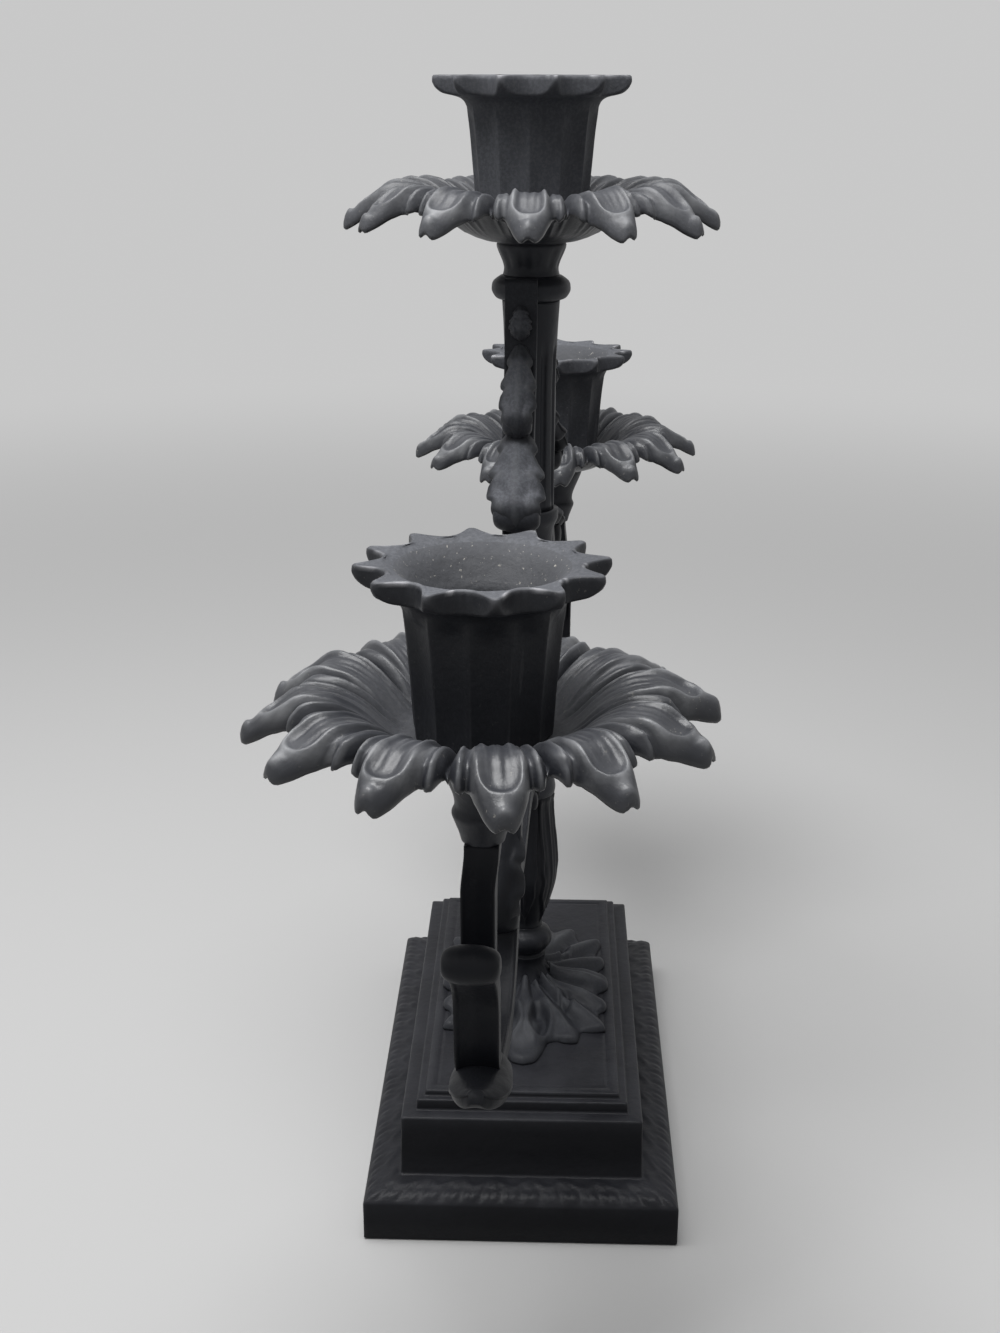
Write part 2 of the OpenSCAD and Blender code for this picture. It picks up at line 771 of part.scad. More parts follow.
// Leaf outline round a pan, as shares of the radius from one leaf's tip to the
// gap beside it, and the height that each line stands over the gap's line
leaf_edge_shares = [1, 0.965, 0.885, 0.835, 0.83, 0.76];
leaf_lift_shares = [0.72, 1, 0.74, 0.9, 0.55, -0.3];
leaf_half_steps = len(leaf_edge_shares) - 1;
pan_columns = 2 * leaf_half_steps * leaf_count;

function leaf_fold(c) =
  let (q = c % (2 * leaf_half_steps))
  q <= leaf_half_steps ? q : 2 * leaf_half_steps - q;

// Height of a pan's upper side over its seat at share r of the pan's radius
pan_floor_r = cup_foot_r + 1.2 * pan_leaf_t;
pan_profile_shares = [[0, 0], [0.12, 0.2], [0.3, 0.72], [0.45, 0.97], [0.55, 1],
  [0.7, 0.78], [0.86, 0.32], [1, 0]];
function profile_at(t, i = 0) =
  t <= pan_profile_shares[i + 1][0] || i == len(pan_profile_shares) - 2
    ? let (a = pan_profile_shares[i], b = pan_profile_shares[i + 1],
        k = (t - a[0]) / (b[0] - a[0]))
      [a[1] + k * (b[1] - a[1]), t]
    : profile_at(t, i + 1);

function pan_height(r) =
  let (t = max(0, (r - pan_floor_r) / (pan_r - pan_floor_r)), crest = crest_h - floor_h)
  t <= 0.55
    ? floor_h + crest * profile_at(t)[0]
    : tip_h + (crest_h - tip_h) * profile_at(t)[0];

// Flutes fade in from the floor and stand highest on the crest
leaf_relief = pan_leaf_t * 1.1;
function leaf_lift(c, t) =
  leaf_relief * leaf_lift_shares[leaf_fold(c)] * sin(20 + 120 * t);

pan_ring_shares = [0, 0.2, 0.42, 0.62, 0.8, 0.92, 1];
pan_low_shares = [0, 0.45, 0.8, 1];
pan_hub_r = seat_r;

function pan_point(c, t, drop) =
  let (
    a = 360 * c / pan_columns,
    edge = pan_r * leaf_edge_shares[leaf_fold(c)],
    r = pan_floor_r + t * (edge - pan_floor_r)
  )
  [r * cos(a), r * sin(a), pan_height(r) + (t == 0 ? 0 : leaf_lift(c, t)) - drop];

// Twelve leaves on a shallow floor, one casting, bored for the stud
module pan(turn) {
  top = [for (t = pan_ring_shares)
    [for (c = [0 : pan_columns - 1]) pan_point(c, t, 0)]];
  low = concat(
    [[for (c = [0 : pan_columns - 1])
      let (a = 360 * c / pan_columns)
      [pan_hub_r * cos(a), pan_hub_r * sin(a), 0]]],
    [for (t = pan_low_shares)
      [for (c = [0 : pan_columns - 1])
        pan_point(c, t, t == 1 ? leaf_tip_t : pan_leaf_t)]]
  );
  rotate([0, 0, turn])
    difference() {
      polar_solid(top, low, pan_columns);
      rod_hole(0, floor_h, stud_r);
    }
}

module front_pan() {
  color(grey)
    on_stem()
      translate([arm_reach, 0, outer_seat_z])
        pan(front_pan_turn);
}

module centre_pan() {
  color(grey)
    on_stem()
      translate([0, 0, seat_z])
        pan(centre_pan_turn);
}

module rear_pan() {
  color(grey)
    on_rear()
      translate([arm_reach, 0, outer_seat_z])
        pan(rear_pan_turn);
}

// The flare under a cup's rim: shares of the way out from the body to the
// tips, and of the rim's thickness below it
flare_shares = [[0.04, 0.7], [0.1, 0.4], [0.22, 0.18], [0.42, 0.04], [0.62, -0.04],
  [0.78, -0.2], [0.9, -0.4]];

// Half outline of a cup from its foot to the rim
cup_side = concat(
  [[0, 0], [cup_foot_r - flute_d, 0], [cup_foot_r, flute_d]],
  [[cup_foot_r, cup_h * 0.08], [cup_body_r - (cup_body_r - cup_foot_r) / 2, cup_h * 0.4],
    [cup_body_r, cup_h * 0.62]],
  [for (s = flare_shares)
    [cup_body_r + s[0] * (rim_r - cup_body_r), cup_h - rim_h * (1 + s[1])]],
  [[rim_r, cup_h - rim_h * 0.38], [rim_r, cup_h], [0, cup_h]]
);

// Points of the rim: a blunt tip, a shoulder and a notch
tip_turn_share = 0.1;
module rim_outline() {
  step = 360 / point_count;
  shoulder_r = notch_r + (rim_r - notch_r) * 0.28;
  polygon([for (k = [0 : point_count - 1])
    each [for (q = [[-0.28, shoulder_r], [-tip_turn_share, rim_r], [tip_turn_share, rim_r],
        [0.28, shoulder_r], [0.5, notch_r]])
      let (a = step * (k + q[0]))
      [q[1] * cos(a), q[1] * sin(a)]]]);
}

// Fluted cup with a pointed rim, bored for the candle and blind-bored below
// for the stud. The flutes lean with the body's sides.
module cup(turn) {
  floor_t = stud_l + stud_r;
  funnel_z = floor_t + candle_l;
  funnel_slope = (mouth_r - candle_r) / (cup_h - funnel_z);
  flute_r = cup_body_r * 0.22;
  flute_z = cup_h * 0.1;
  lean = atan((cup_body_r - cup_foot_r) / (cup_h * 0.52));
  rotate([0, 0, turn])
    difference() {
      intersection() {
        rotate_extrude()
          polygon(cup_side);
        linear_extrude(cup_h)
          rim_outline();
      }
      for (k = [0 : point_count - 1])
        rotate([0, 0, 360 * k / point_count])
          translate([cup_foot_r + flute_r - flute_d, 0, flute_z])
            rotate([0, lean, 0])
              cylinder(cup_h * 0.66, r = flute_r);
      rotate_extrude()
        polygon([[0, floor_t], [candle_r, floor_t], [candle_r, funnel_z],
          [mouth_r + funnel_slope * over, cup_h + over], [0, cup_h + over]]);
      translate([0, 0, -over])
        cylinder(stud_l + over + fit_gap, r = stud_r + bore_gap);
    }
}

module front_cup() {
  color(black)
    on_stem()
      translate([arm_reach, 0, outer_seat_z + floor_h])
        cup(front_cup_turn);
}

module centre_cup() {
  color(black)
    on_stem()
      translate([0, 0, seat_z + floor_h])
        cup(centre_cup_turn);
}

module rear_cup() {
  color(black)
    on_rear()
      translate([arm_reach, 0, outer_seat_z + floor_h])
        cup(rear_cup_turn);
}

// Heights of the washer, the nut and the rod's lower end, inside the plinth
washer_z = rod_boss_z - washer_t;
nut_z = washer_z - nut_h;
rod_z = nut_z - washer_t;

// Tie rod from under the plinth to the middle pan, turned down to a stud above
module tie_rod() {
  color(steel)
    on_stem() {
      translate([0, 0, rod_z])
        cylinder(seat_z - rod_z, r = rod_r);
      translate([0, 0, rod_z])
        cylinder(seat_z + floor_h + stud_l - rod_z, r = stud_r);
    }
}

module base_washer() {
  color(steel)
    on_stem()
      difference() {
        translate([0, 0, washer_z])
          cylinder(washer_t, r = washer_r);
        rod_hole(washer_z, washer_t);
      }
}

// Six-sided nut that draws the stem down on the plinth
module base_nut() {
  color(steel)
    on_stem()
      difference() {
        translate([0, 0, nut_z])
          cylinder(nut_h, r = nut_r / cos(30), $fn = 6);
        rod_hole(nut_z, nut_h);
      }
}

// Two cheese-head screws that hold the arms' feet to the shaft
module arm_screws() {
  head_r = screw_r * 1.6;
  head_t = screw_r;
  color(steel)
    for (side = [0, 180])
      rotate([0, 0, arm_turn + side])
        translate([0, 0, screw_z])
          rotate([0, 90, 0]) {
            translate([0, 0, screw_tip_x + fit_gap])
              cylinder(foot_x + foot_t - screw_tip_x, r = screw_r);
            translate([0, 0, foot_x + foot_t])
              difference() {
                cylinder(head_t, r = head_r);
                translate([-head_t / 6, -head_r, head_t / 2])
                  cube([head_t / 3, 2 * head_r, head_t]);
              }
          }
}

plinth();
foot_leaves();
foot_knob();
leaf_bud();
stem_shaft();
upper_column();
ring_collar();
neck();
front_arm();
rear_arm();
front_socket();
rear_socket();
front_pan();
centre_pan();
rear_pan();
front_cup();
centre_cup();
rear_cup();
front_stud();
rear_stud();
tie_rod();
base_washer();
base_nut();
arm_screws();
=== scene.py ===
import json
import math

import bmesh
import bpy
import numpy as np
from mathutils import Matrix, Vector


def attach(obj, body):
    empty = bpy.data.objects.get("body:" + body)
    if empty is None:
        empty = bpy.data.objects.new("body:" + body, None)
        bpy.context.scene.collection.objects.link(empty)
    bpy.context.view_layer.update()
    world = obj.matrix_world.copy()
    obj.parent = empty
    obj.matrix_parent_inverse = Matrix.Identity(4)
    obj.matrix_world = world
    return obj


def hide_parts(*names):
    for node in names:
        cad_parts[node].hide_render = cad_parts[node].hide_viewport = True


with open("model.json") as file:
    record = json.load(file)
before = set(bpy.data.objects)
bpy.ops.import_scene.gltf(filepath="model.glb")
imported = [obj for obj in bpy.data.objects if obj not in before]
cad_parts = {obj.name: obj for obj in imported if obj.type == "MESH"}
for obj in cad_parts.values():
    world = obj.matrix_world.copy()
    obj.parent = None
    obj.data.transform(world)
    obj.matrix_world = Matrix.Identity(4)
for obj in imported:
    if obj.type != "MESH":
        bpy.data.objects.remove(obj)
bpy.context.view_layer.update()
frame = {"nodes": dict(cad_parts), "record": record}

# Lengths are in millimetres, as in the part's source, and become metres when a
# mesh is made. The stage, the lights and the camera are in metres.
MM = 0.001

# Main sizes, the same as in the part's source
REACH = 135.0
TURN = math.radians(-3.25)
PLINTH_Z = 37.1
KNOB_Z = 49.7
BUD_Z = 59.1
BUD_H = 44.0
SHAFT_Z = 103.1
COLUMN_Z = 189.1
RING_Z = 246.7
NECK_Z = 253.1
SEAT_Z = 261.5
OUTER_SEAT_Z = 170.0
SOCKET_Z = 150.8
FLOOR_H = 5.0
BEND_Z = 89.92
RISE = RING_Z - BEND_Z
LIMB_T = 7.0
SLAB_X, SLAB_Y = 75, 43.2  # half the slab's length and width
ROD_HOLE_R = 3.1
CENTRE_AXIS = (0.0, 0.0)
FRONT_AXIS = (REACH * math.cos(TURN), REACH * math.sin(TURN))
REAR_AXIS = (-FRONT_AXIS[0], -FRONT_AXIS[1])

# The leaves of a pan, and the points of a cup's rim
LEAVES = 12
LEAF_ANGLE = 360 / LEAVES
HALF_ANGLE = LEAF_ANGLE / 2


# ---------------------------------------------------------------- curves

def spline(x, knots):
    """Smooth interpolation without overshoot through (x, y) knots."""
    xs, ys = (np.array(v, float) for v in zip(*knots))
    h = np.diff(xs)
    slope = np.diff(ys) / h
    m = np.zeros(len(xs))
    for i in range(1, len(xs) - 1):
        a, b = slope[i - 1], slope[i]
        if a * b > 0:
            w1, w2 = 2 * h[i] + h[i - 1], h[i] + 2 * h[i - 1]
            m[i] = (w1 + w2) / (w1 / a + w2 / b)
    m[0], m[-1] = slope[0], slope[-1]
    x = np.clip(np.asarray(x, float), xs[0], xs[-1])
    i = np.clip(np.searchsorted(xs, x, side="right") - 1, 0, len(h) - 1)
    t = (x - xs[i]) / h[i]
    return ((2 * t ** 3 - 3 * t ** 2 + 1) * ys[i] + (t ** 3 - 2 * t ** 2 + t) * h[i] * m[i]
            + (3 * t ** 2 - 2 * t ** 3) * ys[i + 1] + (t ** 3 - t ** 2) * h[i] * m[i + 1])


def smooth(points, n):
    """Catmull-Rom curve through the points, n steps to a span."""
    p = np.array(points, float)
    p = np.vstack([2 * p[0] - p[1], p, 2 * p[-1] - p[-2]])
    out = []
    for i in range(1, len(p) - 2):
        a, b, c, d = p[i - 1:i + 3]
        for k in range(n + (i == len(p) - 3)):
            t = k / n
            out.append(0.5 * (2 * b + (c - a) * t + (2 * a - 5 * b + 4 * c - d) * t * t
                              + (3 * b - a - 3 * c + d) * t ** 3))
    return np.array(out)


def even(points, n):
    """The same line with n points at even distances along it."""
    step = np.linalg.norm(np.diff(points[:, :2], axis=0), axis=1)
    run = np.concatenate([[0], np.cumsum(step)])
    stops = np.linspace(0, run[-1], n)
    return np.stack([np.interp(stops, run, points[:, k]) for k in range(points.shape[1])], 1)


def ramp(x, a, b):
    """0 below a, 1 above b, smooth between."""
    t = np.clip((np.asarray(x, float) - a) / (b - a), 0, 1)
    return t * t * (3 - 2 * t)


def bump(x, centre, width):
    """1 at the centre, falling away smoothly over about two widths."""
    return np.exp(-((x - centre) / width) ** 2)


def turned(p, angle):
    """Points turned about the vertical axis."""
    c, s = math.cos(angle), math.sin(angle)
    q = np.array(p, float)
    q[..., 0], q[..., 1] = p[..., 0] * c - p[..., 1] * s, p[..., 0] * s + p[..., 1] * c
    return q


# ---------------------------------------------------------------- materials

def node(tree, kind, **values):
    """A new shader node, with its inputs and settings given by name."""
    n = tree.nodes.new(kind)
    for key, value in values.items():
        if key in n.inputs:
            n.inputs[key].default_value = value
        else:
            setattr(n, key, value)
    return n


def mix_colour(tree, factor, a, b):
    """Colour a where the factor is 0 and b where it is 1, each a colour or an output."""
    m = node(tree, "ShaderNodeMix", data_type="RGBA")
    tree.links.new(factor, m.inputs[0])
    for socket, value in ((m.inputs[6], a), (m.inputs[7], b)):
        if isinstance(value, tuple):
            socket.default_value = (*value, 1)
        else:
            tree.links.new(value, socket)
    return m.outputs[2]


def maths(tree, kind, a, b=None):
    """A maths node on one or two numbers or outputs."""
    m = node(tree, "ShaderNodeMath", operation=kind)
    for socket, value in ((m.inputs[0], a), (m.inputs[1], b)):
        if value is None:
            continue
        if isinstance(value, (int, float)):
            socket.default_value = value
        else:
            tree.links.new(value, socket)
    return m.outputs[0]


def spread(tree, value, a, b, low=0.0, high=1.0):
    """low where the value is a or less, high where it is b or more, smooth between."""
    m = node(tree, "ShaderNodeMapRange", interpolation_type="SMOOTHSTEP")
    tree.links.new(value, m.inputs["Value"])
    m.inputs["From Min"].default_value = a
    m.inputs["From Max"].default_value = b
    m.inputs["To Min"].default_value = low
    m.inputs["To Max"].default_value = high
    return m.outputs[0]


def noise(tree, place, scale, detail, rough):
    """Noise from 0 to 1 at a place on the object."""
    n = node(tree, "ShaderNodeTexNoise", Scale=scale, Detail=detail, Roughness=rough)
    tree.links.new(place, n.inputs["Vector"])
    return n.outputs[0]


# Noise in the paint, as (features to a metre, detail, roughness)
FINE = (1500, 4, 0.6)
SAND = (520, 3, 0.6)
CLOUD = (70, 4, 0.6)
PATCH = (24, 3, 0.5)
GRAINS = (1100, 3, 0.7)
FLAKES = (900, 2, 0.7)
UNEVEN = (170, 2, 0.5)

FLAKE_COLOUR = (0.42, 0.40, 0.36)
PATCH_SHADE = 0.62
DUST_DULLS = 0.25
BUMP_DEPTH = 0.0002  # metres


def paint(name, base, dust, wear_and_highlight_colour, dusty, wear, rough, specks=0.0, metal=0.0, grain=1.0,
          gleam=0.4):
    """Satin paint over a sandy casting: dust on upward faces, rubbed edges.

    A mesh may carry two point attributes: one where dust lies, which on some pieces is also painted
    light, and one where the paint wears through, which on some pieces is also painted highlight.
    """
    mat = bpy.data.materials.new(name)
    mat.use_nodes = True
    tree = mat.node_tree
    shader = tree.nodes["Principled BSDF"]
    place = node(tree, "ShaderNodeTexCoord").outputs["Object"]
    geometry = node(tree, "ShaderNodeNewGeometry")
    dust_and_light = node(tree, "ShaderNodeAttribute", attribute_name="dusty").outputs["Fac"]
    marked_wear_and_highlight = node(tree, "ShaderNodeAttribute", attribute_name="wear_and_highlight").outputs["Fac"]
    fine = noise(tree, place, *FINE)
    sand = noise(tree, place, *SAND)
    cloud = noise(tree, place, *CLOUD)
    patch = noise(tree, place, *PATCH)

    # Dust lies on upward faces, in clouds, and in grains where the mesh says so. The mesh's marks
    # are also painted light that lightens the centre pan and cup and the upper arms, and painted
    # shade in the pans' creases.
    split = node(tree, "ShaderNodeSeparateXYZ")
    tree.links.new(geometry.outputs["Normal"], split.inputs[0])
    upward = spread(tree, split.outputs[2], 0.1, 0.95)
    dust_and_light_mask = maths(tree, "MULTIPLY", upward, spread(tree, cloud, 0.3, 0.72, 0.35, 1.0))
    dust_and_light_mask = maths(tree, "MULTIPLY", dust_and_light_mask, dusty)
    grains = spread(tree, noise(tree, place, *GRAINS), 0.42, 0.62, 0.72, 1.0)
    dust_and_light_mask = maths(tree, "MAXIMUM", dust_and_light_mask, maths(tree, "MULTIPLY", dust_and_light, grains))
    colour = mix_colour(tree, dust_and_light_mask, base, dust)

    # Darker patches in the paint
    tint = spread(tree, patch, 0.35, 0.7, 0.0, 0.35)
    colour = mix_colour(tree, tint, colour, tuple(PATCH_SHADE * c for c in base))

    # Wear on convex edges, and where the mesh says so, which on the pans' lips, keels and flutes
    # and on the leaves' and the foot's ridges is also painted highlight
    wear_and_highlight = spread(tree, geometry.outputs["Pointiness"], 0.505, 0.56)
    wear_and_highlight = maths(tree, "MULTIPLY", wear_and_highlight, wear)
    wear_and_highlight = maths(tree, "MAXIMUM", wear_and_highlight, marked_wear_and_highlight)
    wear_and_highlight = maths(tree, "MULTIPLY", wear_and_highlight, spread(tree, cloud, 0.35, 0.65, 0.25, 1.0))
    colour = mix_colour(tree, wear_and_highlight, colour, wear_and_highlight_colour)

    # Pale flakes of dirt, denser in patches
    if specks:
        flakes = spread(tree, noise(tree, place, *FLAKES), 0.66, 0.72)
        flakes = maths(tree, "MULTIPLY", flakes, spread(tree, patch, 0.4, 0.6, 0.3, 1.0))
        colour = mix_colour(tree, maths(tree, "MULTIPLY", flakes, specks), colour,
                            FLAKE_COLOUR)
    tree.links.new(colour, shader.inputs["Base Color"])
    gloss = spread(tree, cloud, 0.25, 0.75, rough - 0.07, rough + 0.08)
    gloss = maths(tree, "ADD", gloss, maths(tree, "MULTIPLY", dust_and_light, DUST_DULLS))
    tree.links.new(gloss, shader.inputs["Roughness"])
    shader.inputs["Metallic"].default_value = metal
    shader.inputs["Specular IOR Level"].default_value = gleam

    # The casting's skin: fine sand on a low swell
    uneven = maths(tree, "MULTIPLY", noise(tree, place, *UNEVEN), 2.2)
    height = maths(tree, "ADD", maths(tree, "MULTIPLY", fine, 0.45), sand)
    height = maths(tree, "ADD", height, uneven)
    relief = node(tree, "ShaderNodeBump", Strength=0.5 * grain, Distance=BUMP_DEPTH)
    tree.links.new(height, relief.inputs["Height"])
    tree.links.new(relief.outputs[0], shader.inputs["Normal"])
    return mat


BLACK = (0.0115, 0.0125, 0.0160)
# The pans' dust colour, which on the centre pan is also painted light
DUST_AND_LIGHT = (0.114, 0.118, 0.131)
# The colour of worn paint, which on the leaves' and the foot's ridges is also painted highlight
WORN_AND_HIGHLIGHT = (0.14, 0.145, 0.155)

# One paint for each material slot, and one for the dusty inside of the cups
MATS = {
    "plinth_black": paint("plinth_black", (0.0085, 0.0090, 0.0115), (0.047, 0.048, 0.056), WORN_AND_HIGHLIGHT,
                          dusty=0.45, wear=0.1, rough=0.44, gleam=0.15),
    # The ornament's dust also lightens the upper arm leaves as painted light, and its wear colour
    # gives painted highlights on ridges
    "ornament_black": paint("ornament_black", BLACK, (0.135, 0.14, 0.157), WORN_AND_HIGHLIGHT,
                            dusty=0.1, wear=0.06, rough=0.44, gleam=0.16),
    # A lighter copy of the black paint: painted light, for the haze that lightens the stem and the
    # upper parts
    "stem_black": paint("stem_black", (0.031, 0.033, 0.040), (0.098, 0.102, 0.114), WORN_AND_HIGHLIGHT,
                        dusty=0.45, wear=0.06, rough=0.44, gleam=0.25),
    # The pans' wear colour is also their painted highlight on lips, keels and flutes
    "pan_black": paint("pan_black", (0.0195, 0.021, 0.026), DUST_AND_LIGHT, (0.22, 0.225, 0.235),
                       dusty=0.36, wear=0.2, rough=0.37, specks=0.3, gleam=0.44),
    "cup_black": paint("cup_black", BLACK, (0.127, 0.132, 0.147), (0.4, 0.4, 0.42),
                       dusty=0.8, wear=0.1, rough=0.44, specks=0.15, gleam=0.26),
    "cup_inside": paint("cup_inside", (0.050, 0.052, 0.058), (0.088, 0.091, 0.101), WORN_AND_HIGHLIGHT,
                        dusty=0.7, wear=0.1, rough=0.6, specks=0.9, grain=1.8),
    "fastener_steel": paint("fastener_steel", (0.30, 0.30, 0.31), (0.34, 0.34, 0.35),
                            (0.5, 0.5, 0.5), dusty=0.3, wear=0.3, rough=0.42, metal=1.0,
                            grain=0.3),
}


# ---------------------------------------------------------------- meshes

def grid_faces(rows, columns, loop, start):
    """Quads between closed rows of points. A loop joins the last row to the first."""
    out = []
    for r in range(rows if loop else rows - 1):
        a, b = start + r * columns, start + ((r + 1) % rows) * columns
        for c in range(columns):
            d = (c + 1) % columns
            out.append((a + c, a + d, b + d, b + c))
    return out


def piece(name, parts, slot, body, *nodes):
    """One object from parts of (rows, loop): closed grids with their ends capped.

    A row's points are (x, y, z), or these with two marks, dust and wear, which on some pieces are
    also painted light and painted highlight.
    """
    verts, faces, marks = [], [], []
    for rows, loop in parts:
        rows = np.asarray(rows, float)
        given = rows[..., 3:] if rows.shape[2] > 3 else np.zeros(rows.shape[:2] + (2,))
        marks.append(given.reshape(-1, 2))
        rows = rows[..., :3]
        count, columns = rows.shape[:2]
        start = len(verts)
        verts.extend(rows.reshape(-1, 3).tolist())
        faces.extend(grid_faces(count, columns, loop, start))
        if not loop:
            faces.append(tuple(start + c for c in range(columns)))
            faces.append(tuple(start + (count - 1) * columns + c
                               for c in range(columns - 1, -1, -1)))
    mesh = bpy.data.meshes.new(name)
    mesh.from_pydata((np.array(verts) * MM).tolist(), [], faces)
    marks = np.concatenate(marks)
    for column, mark in enumerate(("dusty", "wear_and_highlight")):
        layer = mesh.attributes.new(mark, "FLOAT", "POINT")
        layer.data.foreach_set("value", marks[:, column].astype(np.float32))
    work = bmesh.new()
    work.from_mesh(mesh)
    bmesh.ops.recalc_face_normals(work, faces=work.faces)
    work.to_mesh(mesh)
    work.free()
    mesh.polygons.foreach_set("use_smooth", [True] * len(mesh.polygons))
    obj = bpy.data.objects.new(name, mesh)
    bpy.context.scene.collection.objects.link(obj)
    mesh.materials.append(MATS[slot])
    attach(obj, body)
    if nodes:
        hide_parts(*nodes)
    return obj


# ---------------------------------------------------------------- drip pans

PAN_R = 50
PAN_FLOOR_R = 16.5
PAN_HOLE_R = 2.6
PAN_FINE = 48  # columns of points to a leaf
# Top of a leaf's middle as (radius, z), then the edge's radius and the lift of
# the top across half a leaf, each by degrees from its middle
PAN_PROFILE = [(0, 5), (17, 5), (20, 6.8), (24, 10.4), (28, 13.0), (32, 14.5), (35.5, 14.8),
               (38, 14.2), (41, 12.4), (44.5, 10.4), (47, 9.4), (49, 8.9), (50, 8.5)]
LEAF_EDGE = [(0, 50), (1.6, 49.9), (2.7, 49.2), (3.8, 47.8), (5.2, 45.6), (6.8, 43.0),
             (8.2, 40.4), (9.2, 39.8), (10.4, 41.1), (11.6, 41.1), (12.8, 39.5), (14.1, 37.2),
             (15, 36.1)]
LEAF_LIFT = [(0, 0.35), (2.5, 0.3), (4.6, 0.55), (5.9, 0.8), (7.2, 0.1), (8.7, -0.8),
             (10.1, -0.15), (11.3, 0.1), (12.7, -0.4), (14, -1.3), (15, -2.1)]
TONGUE_R = 41.3
TONGUE_HALF = 4.3
# How much higher each leaf's tip stands, in the leaves' order
PAN_SAGS = {
    "front_pan": [0.4, 1.0, 2.2, 2.5, 0.3, -0.3, 0.4, -0.4, -0.6, 0.2, 1.4, 1.8],
    "centre_pan": [0.0, -0.1, -0.8, -0.9, 0.2, 0.5, -0.3, 0.3, -0.2, -1.1, 0.0, 0.3],
    "rear_pan": [0.2, -0.5, 0.4, -0.3, 0.5, -0.2, 0.0, 0.4, -0.5, 0.3, -0.3, 0.1],
}
PAN_UNDER = [(PAN_HOLE_R, 0), (9.2, 0), (9.35, 0.25), (12.6, 0.75), (15.2, 1.6)]
# Rings from the floor out to the edge, closer where the leaf is finer
PAN_SHARES = np.concatenate([np.linspace(0, 0.62, 15), np.linspace(0.66, 0.84, 7),
                             np.linspace(0.86, 1, 13)])
EDGE_ROUND = 1.5
EDGE_DROP = 2.5
EDGE_RAGGED = 0.3
FLOOR_DUST = 0.7


def to_outline(x, y, rim, reach=24):
    """Distance from each point to the closed outline, among the columns near its own."""
    near = np.full(len(x), 99.0)
    for shift in range(-reach, reach + 1):
        a = np.roll(rim, shift, axis=0)
        d = np.roll(rim, shift - 1, axis=0) - a
        t = ((x - a[:, 0]) * d[:, 0] + (y - a[:, 1]) * d[:, 1]) / (d ** 2).sum(1)
        t = np.clip(t, 0, 1)
        near = np.minimum(near, np.hypot(x - a[:, 0] - t * d[:, 0], y - a[:, 1] - t * d[:, 1]))
    return near


